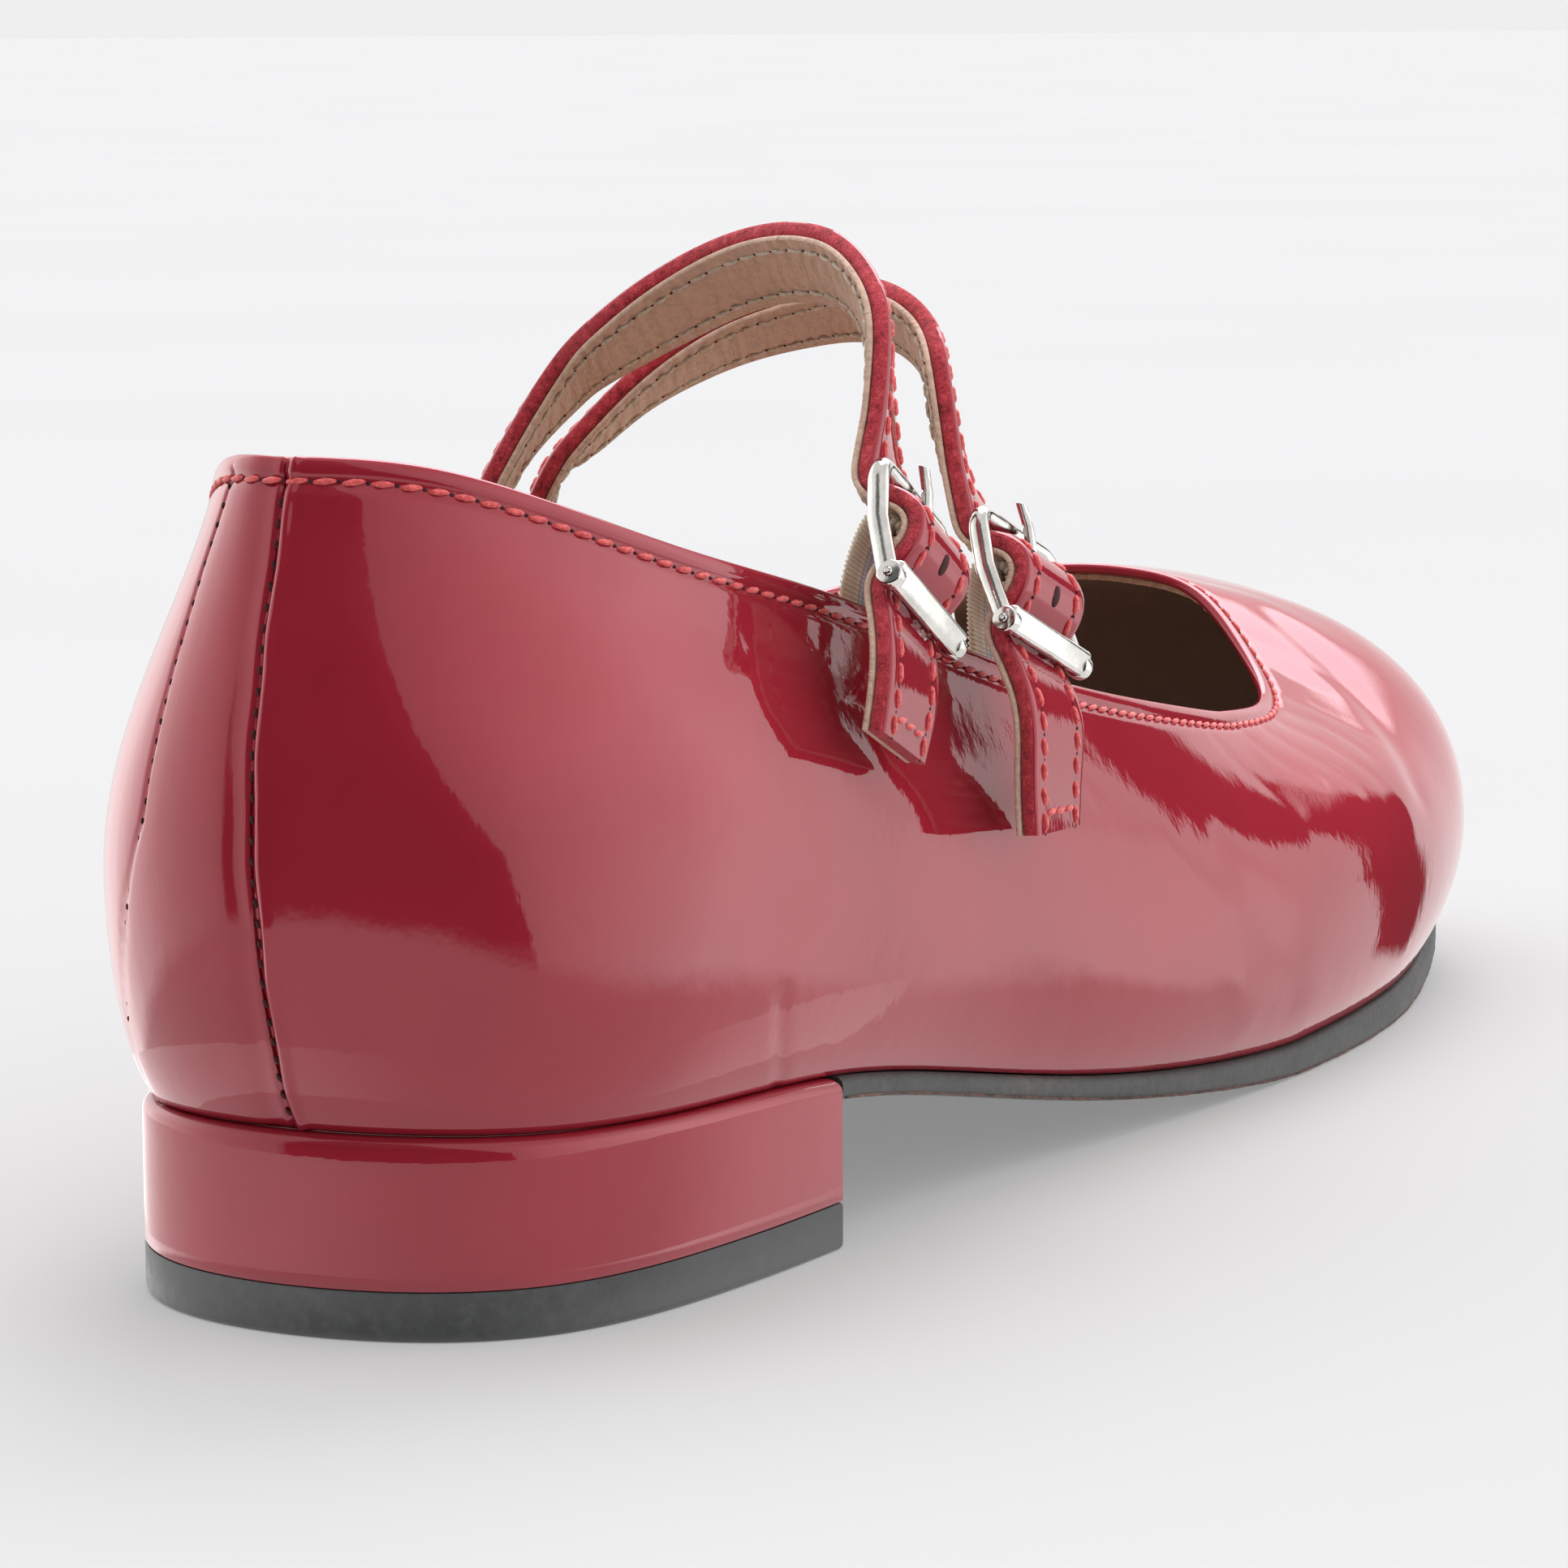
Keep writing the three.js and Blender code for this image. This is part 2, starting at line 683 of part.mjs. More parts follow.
const prongReach = middleBarRadius + loopGap + prongRadius;
const elasticReach = middleBarRadius + loopGap + elasticThickness;

// Stations of the start of a band on the inside of the wall, at shares of the wall's height
function rootStations([rear, front], shares, thickness) {
  const distance = -(wall + 2 * meetGap + thickness);
  return shares.map((share) => {
    const edge = wallPoint(rear, share, distance);
    const width = wallPoint(front, share, distance).sub(edge).normalize();
    return { edge, width };
  });
}

// A strap: rooted inside the collar, over the instep, inside the buckle's top bar, out over its
// middle bar, inside its flat bar, and down the outer wall to the free end
function strapGeometry(arch, fastening, frame) {
  const root = rootStations(fastening.root, [0.62, 0.84, 1], 0);
  const edgeAt = (up, out) => frame.at(-strapWidth / 2, up, out);
  const faceOut = fastening.enters.out * strapThickness;
  const entry = { up: buckleReach + strapLead, out: faceOut - strapThickness / 2 };
  const over = arch.map((row) => ({ edge: spot(row), width: widthDirection(row) }));
  over.push({
    edge: edgeAt(entry.up, faceOut),
    width: widthDirection({ turn: fastening.enters.turn, tip: fastening.tip }),
  });
  const archStations = movedIn(smoothStations([...root, ...over], archSteps), strapThickness / 2);
  const half = strapThickness / 2 + meetGap;
  const path = woundPath([
    { ...entry, reach: 0 },
    { up: buckleReach, out: 0, reach: -(barRadius + half) },
    { up: 0, out: -middleBarDrop, reach: elasticReach + half },
    { up: -flatBarReach, out: 0, reach: -(flatBarThickness / 2 + half) },
    { up: -flatBarReach - strapLead, out: -strapThickness / 2 - strapFall, reach: 0 },
  ], 5);
  const wound = path.slice(1, -1).map(({ up, out }) => ({ edge: edgeAt(up, out), width: frame.across }));
  const tail = fastening.tail.map((row) => ({ edge: spot(row), width: widthDirection(row) }));
  const tailStations = smoothStations([wound[wound.length - 1], ...tail], tailSteps);
  const stations = [...archStations, ...wound, ...tailStations.slice(1)];
  const strap = solidOf(bandMesh(stations, strapWidth, strapThickness));
  return geometryOf(strap.subtract(prongSolid(frame, prongRadius + meetGap)));
}

// The buckle: two side rails, a round top bar, a thin middle bar and a flat bottom bar
function buckleGeometry(frame) {
  const railAt = strapWidth / 2 + railGap + railThickness / 2;
  const endAt = railAt + railThickness / 2;
  const bow = barRadius * 0.2;
  const across = (up, out, end) => [frame.at(-end, up, out), frame.at(end, up, out)];
  const rails = [-railAt, railAt].map((a) => barMesh([
    frame.at(a, -flatBarReach - flatBarWidth * 0.4, 0),
    frame.at(a, -buckleReach * 0.4, bow),
    frame.at(a, buckleReach * 0.4, bow),
    frame.at(a, buckleReach + barRadius, 0),
  ], frame.across, plate(railThickness, railDepth)));
  const tilt = frame.up.clone().addScaledVector(frame.out, 0.6).normalize();
  const bars = [
    barMesh(across(buckleReach, 0, railAt), frame.up, oval(2 * barRadius, 2 * barRadius)),
    barMesh(across(0, -middleBarDrop, railAt), frame.up, oval(2 * middleBarRadius, 2 * middleBarRadius)),
    barMesh(across(-flatBarReach, flatBarOut, endAt), tilt, plate(flatBarWidth, flatBarThickness)),
  ];
  return geometryOf([...rails, ...bars].map(solidOf).reduce((sum, solid) => sum.add(solid)));
}

// The line of the prong's pin: up as a share of the way to the top bar, over as a share of its
// height over that bar
const prongLine = named(['up', 'over'], [
  [0.35, 0.45],
  [0.6, 0.85],
  [1, 1],
]);

// The prong: an eye round the middle bar, and a pin that goes out through the strap and lies on
// the top bar
function prongSolid(frame, radius) {
  const over = barRadius + meetGap + prongRadius;
  const eye = Array.from({ length: eyeSteps }, (_, i) => {
    const angle = (2 * Math.PI * i) / eyeSteps;
    const radial = frame.up.clone().multiplyScalar(Math.cos(angle));
    radial.addScaledVector(frame.out, Math.sin(angle));
    const centre = frame.at(0, 0, -middleBarDrop).addScaledVector(radial, prongReach);
    const ring = oval(2 * radius, 2 * radius);
    return ring.map(([a, b]) => centre.clone().addScaledVector(frame.across, -a).addScaledVector(radial, b));
  });
  const pin = barMesh([
    frame.at(0, prongReach * 0.9, prongRadius - middleBarDrop),
    ...prongLine.map((row) => frame.at(0, row.up * buckleReach, row.over * over)),
    frame.at(0, buckleReach + prongTip, over * 0.94),
  ], frame.across, oval(2 * radius, 2 * radius));
  return solidOf(loftMesh(eye, true)).add(solidOf(pin));
}

// The elastic that holds the buckle: from inside the collar, over its edge and round the middle bar
function elasticGeometry(fastening, frame) {
  const root = rootStations(fastening.elasticRoot, [0.62, 0.85, 1.04], elasticThickness / 2);
  const collar = root[root.length - 1].edge.clone().sub(frame.at(0, 0, 0));
  const path = woundPath([
    { up: collar.dot(frame.up) + elasticLead, out: collar.dot(frame.out), reach: 0 },
    { up: 0, out: -middleBarDrop, reach: elasticReach - elasticThickness / 2 },
    { up: -elasticReach * 1.4, out: -elasticReach * 3.1, reach: 0 },
  ], 8);
  const wrap = path.slice(1, -1).map(({ up, out }) => ({
    edge: frame.at(-elasticWidth / 2, up, out),
    width: frame.across,
  }));
  const [first, second] = wrap;
  const backward = first.edge.clone().sub(second.edge).normalize();
  const before = first.edge.clone().addScaledVector(backward, elasticLead * 1.25);
  const lead = smoothStations([...root, { edge: before, width: frame.across }, first], elasticSteps);
  const stations = [...lead, ...wrap.slice(1)];
  const band = solidOf(bandMesh(stations, elasticWidth, elasticThickness));
  return geometryOf(band.subtract(prongSolid(frame, prongRadius + meetGap)));
}

addPiece('upper', upperGeometry(), 'patent');
addPiece('outsole', outsoleGeometry(), 'rubber');
addPiece('insole', insoleGeometry(), 'lining');
addPiece('heel_block', heelBlockGeometry(), 'patent');
addPiece('heel_top_piece', heelTopPieceGeometry(), 'rubber');
for (const [name, fastening] of Object.entries(fastenings)) {
  const frame = buckleFrame(fastening);
  addPiece(`strap_${name}`, strapGeometry(arches[name], fastening, frame), 'patent');
  addPiece(`buckle_${name}`, buckleGeometry(frame), 'nickel');
  addPiece(`prong_${name}`, geometryOf(prongSolid(frame, prongRadius)), 'nickel');
  addPiece(`elastic_${name}`, elasticGeometry(fastening, frame), 'elastic');
}

export default shoe;
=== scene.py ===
import math
import random

import bpy
import numpy as np
from mathutils import Matrix, Vector


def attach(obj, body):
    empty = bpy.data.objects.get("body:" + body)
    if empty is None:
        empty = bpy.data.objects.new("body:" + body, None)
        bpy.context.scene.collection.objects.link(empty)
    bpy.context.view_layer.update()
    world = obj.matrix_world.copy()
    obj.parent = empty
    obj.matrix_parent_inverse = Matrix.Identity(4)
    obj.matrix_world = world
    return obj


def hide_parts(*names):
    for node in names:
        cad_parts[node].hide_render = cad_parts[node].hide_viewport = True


# Mary jane shoe for the right foot, in red patent leather, with a covered low block heel and two
# buckled straps. +X points to the toe, +Y to the inner side of the foot, +Z up.
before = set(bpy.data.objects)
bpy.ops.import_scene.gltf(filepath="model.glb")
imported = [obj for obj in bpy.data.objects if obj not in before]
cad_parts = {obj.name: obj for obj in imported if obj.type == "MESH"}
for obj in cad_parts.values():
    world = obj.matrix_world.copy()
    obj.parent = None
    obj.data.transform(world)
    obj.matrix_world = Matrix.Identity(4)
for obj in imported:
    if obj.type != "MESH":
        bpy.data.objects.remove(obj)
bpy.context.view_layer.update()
random.seed(7)

# Sizes in millimetres, as the frame has them
MM = 0.001
SOLE_LENGTH = 250.0
BALL_WIDTH = 81.0
HEEL_HEIGHT = 19.0
TOE_SPRING = 6.9
QUARTER_HEIGHT = 59.0
HEEL_LENGTH = 51.0
TOP_PIECE_HEIGHT = 4.5
WALL = 1.8
LASTING_MARGIN = 9.0
INSOLE_THICKNESS = 2.4
SOLE_SETBACK = 0.8
MEET_GAP = 0.3
STRAP_WIDTH = 12.8
STRAP_THICKNESS = 2.3
BUCKLE_REACH = 6.0
FLAT_BAR_REACH = 6.1
FLAT_BAR_OUT = 0.8
BAR_RADIUS = 0.9
MIDDLE_BAR_RADIUS = 0.6
MIDDLE_BAR_DROP = 0.7
PRONG_RADIUS = 0.6
ELASTIC_WIDTH = 10.0
ELASTIC_THICKNESS = 0.8
LOOP_GAP = 0.2
HEEL_CENTRE = HEEL_LENGTH / 2
ORIGIN = np.array([HEEL_CENTRE, 0.0, 0.0])

# Layers of the upper and of the straps
PATENT_THICKNESS = 1.15
LINING_DROP = 2.5
COLLAR_STITCH_DROP = 2.2
STRAP_LINING = 0.6
STRAP_STITCH_INSET = 2.2
RIB_PITCH = 0.8


def table(columns, rows):
    """A table with named columns, each column an array."""
    names = columns.split()
    return {name: np.array([row[i] for row in rows], float) for i, name in enumerate(names)}


# The bottom of the last, a row for each tenth of the length from the back
BOTTOM_LINE = table("heel_share toe_share thickness", [
    (0.845, 0, 2.2),
    (0.8, 0, 2.2),
    (0.745, 0, 2.2),
    (0.537, 0, 2.3),
    (0.285, 0, 2.5),
    (0.1, 0, 2.9),
    (-0.005, 0, 3.5),
    (0, -0.01, 3.8),
    (0, 0.1, 3.8),
    (0, 0.56, 3.7),
    (0, 0.95, 3.6),
])

# Sections of the upper, from the back of the heel along the outer side to the toe and back
UPPER_SECTIONS = table("foot_along foot_side top_along top_side top_up out up lift reach fall", [
    (0.001, 0, 0.006, 0, 1, 0.072, 0.44, 0.17, 0.17, 78),
    (0.033, -0.244, 0.037, -0.155, 0.978, 0.044, 0.42, 0.19, 0.17, 80),
    (0.124, -0.34, 0.124, -0.29, 0.853, 0.05, 0.44, 0.17, 0.17, 82),
    (0.224, -0.368, 0.226, -0.34, 0.765, 0.046, 0.39, 0.153, 0.153, 82),
    (0.328, -0.386, 0.332, -0.364, 0.71, 0.05, 0.34, 0.136, 0.136, 78),
    (0.432, -0.432, 0.436, -0.383, 0.675, 0.046, 0.288, 0.136, 0.136, 70),
    (0.536, -0.472, 0.536, -0.38, 0.64, 0.042, 0.254, 0.136, 0.136, 60),
    (0.636, -0.491, 0.624, -0.356, 0.598, 0.035, 0.237, 0.17, 0.153, 47),
    (0.732, -0.474, 0.694, -0.309, 0.589, 0.035, 0.237, 0.203, 0.17, 38),
    (0.824, -0.422, 0.737, -0.222, 0.66, 0.04, 0.21, 0.24, 0.25, 32),
    (0.91, -0.331, 0.757, -0.125, 0.75, 0.04, 0.185, 0.32, 0.37, 17),
    (0.975, -0.156, 0.759, -0.031, 0.782, 0.034, 0.18, 0.39, 0.44, 11),
    (1.002, 0.043, 0.757, 0.049, 0.786, 0.028, 0.18, 0.42, 0.48, 6),
    (0.978, 0.247, 0.748, 0.136, 0.776, 0.03, 0.195, 0.42, 0.48, 5),
    (0.912, 0.401, 0.732, 0.216, 0.756, 0.033, 0.215, 0.39, 0.43, 13),
    (0.824, 0.484, 0.696, 0.296, 0.769, 0.035, 0.237, 0.28, 0.28, 34),
    (0.728, 0.509, 0.632, 0.346, 0.75, 0.035, 0.254, 0.237, 0.203, 50),
    (0.632, 0.475, 0.56, 0.364, 0.738, 0.037, 0.288, 0.22, 0.186, 60),
    (0.536, 0.389, 0.484, 0.37, 0.749, 0.056, 0.339, 0.203, 0.186, 70),
    (0.432, 0.309, 0.408, 0.37, 0.768, 0.086, 0.373, 0.186, 0.186, 78),
    (0.328, 0.284, 0.328, 0.342, 0.793, 0.09, 0.407, 0.17, 0.17, 84),
    (0.224, 0.309, 0.228, 0.325, 0.806, 0.072, 0.37, 0.2, 0.17, 84),
    (0.124, 0.34, 0.124, 0.28, 0.868, 0.046, 0.35, 0.22, 0.17, 82),
    (0.033, 0.244, 0.037, 0.14, 0.98, 0.04, 0.36, 0.22, 0.17, 80),
])
SECTION_COUNT = 24
TOE_SECTION = 12

# The arches of the straps, from the inner side over the instep to the buckle
ARCHES = {
    "rear": table("along side up turn tip", [
        (0.296, 0.247, 0.971, 27, 16),
        (0.306, 0.183, 1.141, 24, 20),
        (0.3, 0.12, 1.216, 20, 23),
        (0.299, 0.054, 1.282, 15, 27),
        (0.3, -0.012, 1.336, 12, 29),
        (0.294, -0.09, 1.372, 11, 30),
        (0.283, -0.18, 1.385, 12, 31),
        (0.272, -0.262, 1.365, 15, 31),
        (0.26, -0.32, 1.315, 18, 31),
        (0.248, -0.36, 1.255, 22, 31),
        (0.238, -0.381, 1.175, 23, 31),
    ]),
    "front": table("along side up turn tip", [
        (0.35, 0.267, 0.972, 28, 8),
        (0.36, 0.232, 1.069, 27, 12),
        (0.37, 0.172, 1.171, 25, 16),
        (0.382, 0.107, 1.256, 23, 20),
        (0.392, 0.045, 1.31, 21, 22),
        (0.388, -0.05, 1.343, 20, 24),
        (0.375, -0.15, 1.352, 19, 26),
        (0.36, -0.235, 1.318, 19, 27),
        (0.349, -0.285, 1.266, 20, 27),
        (0.337, -0.315, 1.21, 22, 26),
        (0.329, -0.336, 1.13, 22, 25),
    ]),
}

# Where each strap starts inside the collar, how its buckle lies and how its free end hangs
FASTENINGS = {
    "rear": {
        "root": (20.4, 19.87),
        "middle": (0.228, -0.423, 0.838),
        "turn": 0, "tip": 30, "lean": 15,
        "enters_out": 0.4, "enters_turn": 15,
        "elastic_root": (3.16, 3.54),
        "tail": table("along side up turn tip", [
            (0.18, -0.448, 0.682, 2, 24),
            (0.173, -0.448, 0.565, 5, 21),
        ]),
    },
    "front": {
        "root": (19.85, 19.32),
        "middle": (0.328, -0.431, 0.816),
        "turn": -5, "tip": 22, "lean": 24,
        "enters_out": -0.8, "enters_turn": 14,
        "elastic_root": (4.16, 4.54),
        "tail": table("along side up turn tip", [
            (0.287, -0.478, 0.62, -1, 13),
            (0.286, -0.484, 0.51, 1, 7),
            (0.287, -0.486, 0.402, 3, 3),
        ]),
    },
}


# Smooth curves through tables
def controls_through(values, looped):
    """Controls of the uniform cubic B-spline that passes through the values."""
    controls = values.copy()
    for _ in range(24):
        around = padded_ends(controls, looped)
        controls = controls + values - (around[:-3] + 4 * around[1:-2] + around[2:-1]) / 6
    return controls


def padded_ends(values, looped):
    """The values with one more before the first and two more after the last."""
    if looped:
        return np.concatenate([values[-1:], values, values[:2]])
    before = [2 * values[0] - values[1]]
    after = [2 * values[-1] - values[-2], 2 * values[-1] - values[-3]]
    return np.concatenate([before, values, after])


def smooth_values(rows, places, looped):
    """Every column of a table, smoothly, at places between its rows."""
    count = len(next(iter(rows.values())))
    places = np.asarray(places, float)
    if looped:
        places = places % count
    start = np.clip(np.floor(places).astype(int), 0, count - 1)
    t = places - start
    weights = [(1 - t) ** 3, 3 * t ** 3 - 6 * t ** 2 + 4, -3 * t ** 3 + 3 * t ** 2 + 3 * t + 1, t ** 3]
    result = {}
    for name, values in rows.items():
        controls = padded_ends(controls_through(values, looped), looped)
        result[name] = sum(weight * controls[start + k] for k, weight in enumerate(weights)) / 6
    return result


def unit(vectors):
    """Vectors made one long."""
    return vectors / np.maximum(np.linalg.norm(vectors, axis=-1, keepdims=True), 1e-12)


def joined(x, y, z):
    """Points from their three coordinates."""
    return np.stack(np.broadcast_arrays(x, y, z), axis=-1).astype(float)


# The bottom of the last and the outline of the sole
def bottom_at(x):
    """The rows of the bottom line at distances along the shoe."""
    places = np.clip(np.asarray(x) / SOLE_LENGTH, 0, 1) * (len(BOTTOM_LINE["thickness"]) - 1)
    return smooth_values(BOTTOM_LINE, places, False)


def sole_underside(x):
    """Height of the sole's underside."""
    row = bottom_at(x)
    return np.maximum(0, row["heel_share"] * HEEL_HEIGHT + row["toe_share"] * TOE_SPRING)


def sole_top(x):
    """Height of the top of the sole, where the upper stands."""
    return sole_underside(x) + bottom_at(x)["thickness"]


def outline_normal(places):
    """Level directions out of the shoe at places round the foot."""
    before = smooth_values(UPPER_SECTIONS, np.asarray(places) - 0.05, True)
    after = smooth_values(UPPER_SECTIONS, np.asarray(places) + 0.05, True)
    along = (after["foot_along"] - before["foot_along"]) * SOLE_LENGTH
    side = (after["foot_side"] - before["foot_side"]) * BALL_WIDTH
    return unit(joined(side, -along, 0))


def outline_point(places, inset):
    """Points on the sole's outline, moved in by an inset, at height 0."""
    row = smooth_values(UPPER_SECTIONS, places, True)
    points = joined(row["foot_along"] * SOLE_LENGTH, row["foot_side"] * BALL_WIDTH, 0)
    return points - outline_normal(places) * inset


def spot(along, side, up):
    """Points given by shares of the sole length, the ball width and the quarter height."""
    x = np.asarray(along) * SOLE_LENGTH
    return joined(x, np.asarray(side) * BALL_WIDTH, sole_top(x) + np.asarray(up) * QUARTER_HEIGHT)


# The wall of the upper
def bezier(points, shares):
    """Points on cubic curves: a row for each curve and a column for each share of the way."""
    t = np.asarray(shares)[..., None]
    s = 1 - t
    weights = [s ** 3, 3 * s * s * t, 3 * s * t * t, t ** 3]
    return sum(weight * point[:, None, :] for weight, point in zip(weights, points))


def wall_curves(places):
    """The curves from the feather line to the widest line and from there to the top edge."""
    row = {name: values[:, None] for name, values in smooth_values(UPPER_SECTIONS, places, True).items()}
    outward = outline_normal(places)
    feather = outline_point(places, SOLE_SETBACK)
    feather[:, 2] = sole_top(feather[:, 0]) + MEET_GAP
    up = np.array([0, 0, 1.0])
    rise = row["up"] * QUARTER_HEIGHT
    widest = feather + outward * (row["out"] * BALL_WIDTH + SOLE_SETBACK) + up * rise
    feather_handle = feather + outward * WALL + up * WALL * 1.2
    drop_handle = widest - up * rise * 0.5
    top = spot(row["top_along"], row["top_side"], row["top_up"])[:, 0, :]
    out_of_top = (widest - top) * [1, 1, 0]
    out_of_top = unit(out_of_top + outward * WALL * 3)
    fall = np.radians(row["fall"])
    reach = row["reach"] * QUARTER_HEIGHT
    top_handle = top + out_of_top * np.cos(fall) * reach - up * np.sin(fall) * reach
    lift_handle = widest + up * row["lift"] * QUARTER_HEIGHT
    lower = [feather, feather_handle, drop_handle, widest]
    upper = [widest, lift_handle, top_handle, top]
    return lower, upper


def wall_rows(places, drops, low_rows):
    """Points on the outer face: from the feather line up to chosen drops below the top edge.

    drops are distances in millimetres measured down the wall, the largest first.
    """
    lower, upper = wall_curves(places)
    shares = np.linspace(0, 1, 81)
    low, high = bezier(lower, shares), bezier(upper, shares)
    dense = np.concatenate([low, high[:, 1:]], axis=1)
    steps = np.linalg.norm(np.diff(dense, axis=1), axis=2)
    length = np.concatenate([np.zeros((len(places), 1)), np.cumsum(steps, axis=1)], axis=1)
    total = length[:, -1:]
    wanted = total - np.asarray(drops)[None, :]
    if low_rows:
        first = total - drops[0]
        wanted = np.concatenate([first * np.linspace(0, 1, low_rows, endpoint=False), wanted], axis=1)
    scale = np.concatenate([shares, 1 + shares[1:]])
    t = np.array([np.interp(row, line, scale) for row, line in zip(wanted, length)])
    on_low = bezier(lower, np.clip(t, 0, 1))
    on_high = bezier(upper, np.clip(t - 1, 0, 1))
    return np.where((t < 1)[..., None], on_low, on_high)


def loop_normals(points):
    """Outward normals of rings of points round the foot, each ring from below upward."""
    around = np.roll(points, -1, axis=0) - np.roll(points, 1, axis=0)
    return unit(np.cross(around, np.gradient(points, axis=1)))


def wall_frame(places, drop):
    """Points on the outer face a distance below the top edge, with the directions out and up."""
    step = 0.02
    places = np.asarray(places, float)
    here = wall_rows(places, [drop + step, drop, drop - step], 0)
    after = wall_rows(places + step, [drop], 0)[:, 0]
    before = wall_rows(places - step, [drop], 0)[:, 0]
    up = unit(here[:, 2] - here[:, 0])
    out = unit(np.cross(after - before, up))
    return here[:, 1], out, up


def wall_share(place, share, distance):
    """A point at a share of the way from the widest line to the top edge, moved out of the wall."""
    step = 0.02

    def curve(where, along):
        return bezier(wall_curves(np.array([where]))[1], [along])[0, 0]

    around = curve(place + step, share) - curve(place - step, share)
    up = curve(place, share + step) - curve(place, share - step)
    return curve(place, share) + unit(np.cross(around, up)) * distance


# Making meshes as by hand
def begin(name, primitive, **sizes):
    """A new piece from a primitive, alone in the selection."""
    bpy.ops.object.select_all(action="DESELECT")
    getattr(bpy.ops.mesh, "primitive_" + primitive + "_add")(**sizes)
    piece = bpy.context.object
    piece.name = name
    piece.data.name = name
    return piece


def alone(piece):
    """Only this piece is selected and active."""
    bpy.ops.object.select_all(action="DESELECT")
    piece.select_set(True)
    bpy.context.view_layer.objects.active = piece


def select_where(piece, test):
    """Selects the vertices whose places, in millimetres of the frame, pass a test."""
    alone(piece)
    count = len(piece.data.vertices)
    places = np.empty(count * 3)
    piece.data.vertices.foreach_get("co", places)
    chosen = test(places.reshape(-1, 3) / MM)
    bpy.ops.object.mode_set(mode="EDIT")
    bpy.ops.mesh.select_mode(type="VERT")
    bpy.ops.mesh.select_all(action="DESELECT")
    bpy.ops.object.mode_set(mode="OBJECT")
    piece.data.vertices.foreach_set("select", chosen)
    bpy.ops.object.mode_set(mode="EDIT")


def done_editing():
    bpy.ops.object.mode_set(mode="OBJECT")


def sheet_through(name, points, rows_close=False, columns_close=False):
    """A grid of quads laid through rows of points, welded where its rows or columns come round.

    Its UV map runs along the columns and the rows.
    """
    if rows_close:
        points = np.concatenate([points, points[:1]], axis=0)
    if columns_close:
        points = np.concatenate([points, points[:, :1]], axis=1)
    rows, columns = points.shape[:2]
    piece = begin(name, "grid", x_subdivisions=columns - 1, y_subdivisions=rows - 1, size=1)
    piece.data.vertices.foreach_set("co", ((points - ORIGIN) * MM).ravel())
    piece.data.update()
    bpy.ops.object.mode_set(mode="EDIT")
    bpy.ops.mesh.select_all(action="SELECT")
    bpy.ops.mesh.remove_doubles(threshold=1e-7)
    bpy.ops.object.mode_set(mode="OBJECT")
    return piece


def measure_along(piece, length):
    """Makes the second UV coordinate run in millimetres."""
    for corner in piece.data.uv_layers.active.data:
        corner.uv[1] *= length


def fill_ends(piece):
    """Closes the open ends of a tube with a face each."""
    alone(piece)
    bpy.ops.object.mode_set(mode="EDIT")
    bpy.ops.mesh.select_mode(type="EDGE")
    bpy.ops.mesh.select_all(action="DESELECT")
    bpy.ops.mesh.select_non_manifold(extend=False, use_wire=False, use_multi_face=False,
                                     use_non_contiguous=False, use_verts=False)
    if piece.data.total_edge_sel:
        bpy.ops.mesh.fill()
    bpy.ops.object.mode_set(mode="OBJECT")


def face_outwards(piece):
    alone(piece)
    bpy.ops.object.mode_set(mode="EDIT")
    bpy.ops.mesh.select_all(action="SELECT")
    bpy.ops.mesh.normals_make_consistent(inside=False)
    bpy.ops.object.mode_set(mode="OBJECT")


def smooth(piece, angle=None):
    alone(piece)
    if angle is None:
        bpy.ops.object.shade_smooth()
    else:
        bpy.ops.object.shade_smooth_by_angle(angle=math.radians(angle))


def finish_with(piece, kind, **settings):
    """Adds a modifier and applies it."""
    alone(piece)
    modifier = piece.modifiers.new(kind.title(), kind)
    for name, value in settings.items():
        setattr(modifier, name, value)
    bpy.ops.object.modifier_apply(modifier=modifier.name)


def join(pieces, name):
    """Several pieces as one."""
    bpy.ops.object.select_all(action="DESELECT")
    for piece in pieces:
        piece.select_set(True)
    bpy.context.view_layer.objects.active = pieces[0]
    bpy.ops.object.join()
    pieces[0].name = name
    pieces[0].data.name = name
    return pieces[0]


def dress(piece, material, slot, *nodes):
    """The piece's finish, the body it rides on, and the nodes it stands for; slot is not used."""
    if material is not None:
        piece.data.materials.clear()
        piece.data.materials.append(material)
    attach(piece, "root")
    if nodes:
        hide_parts(*nodes)
    return piece


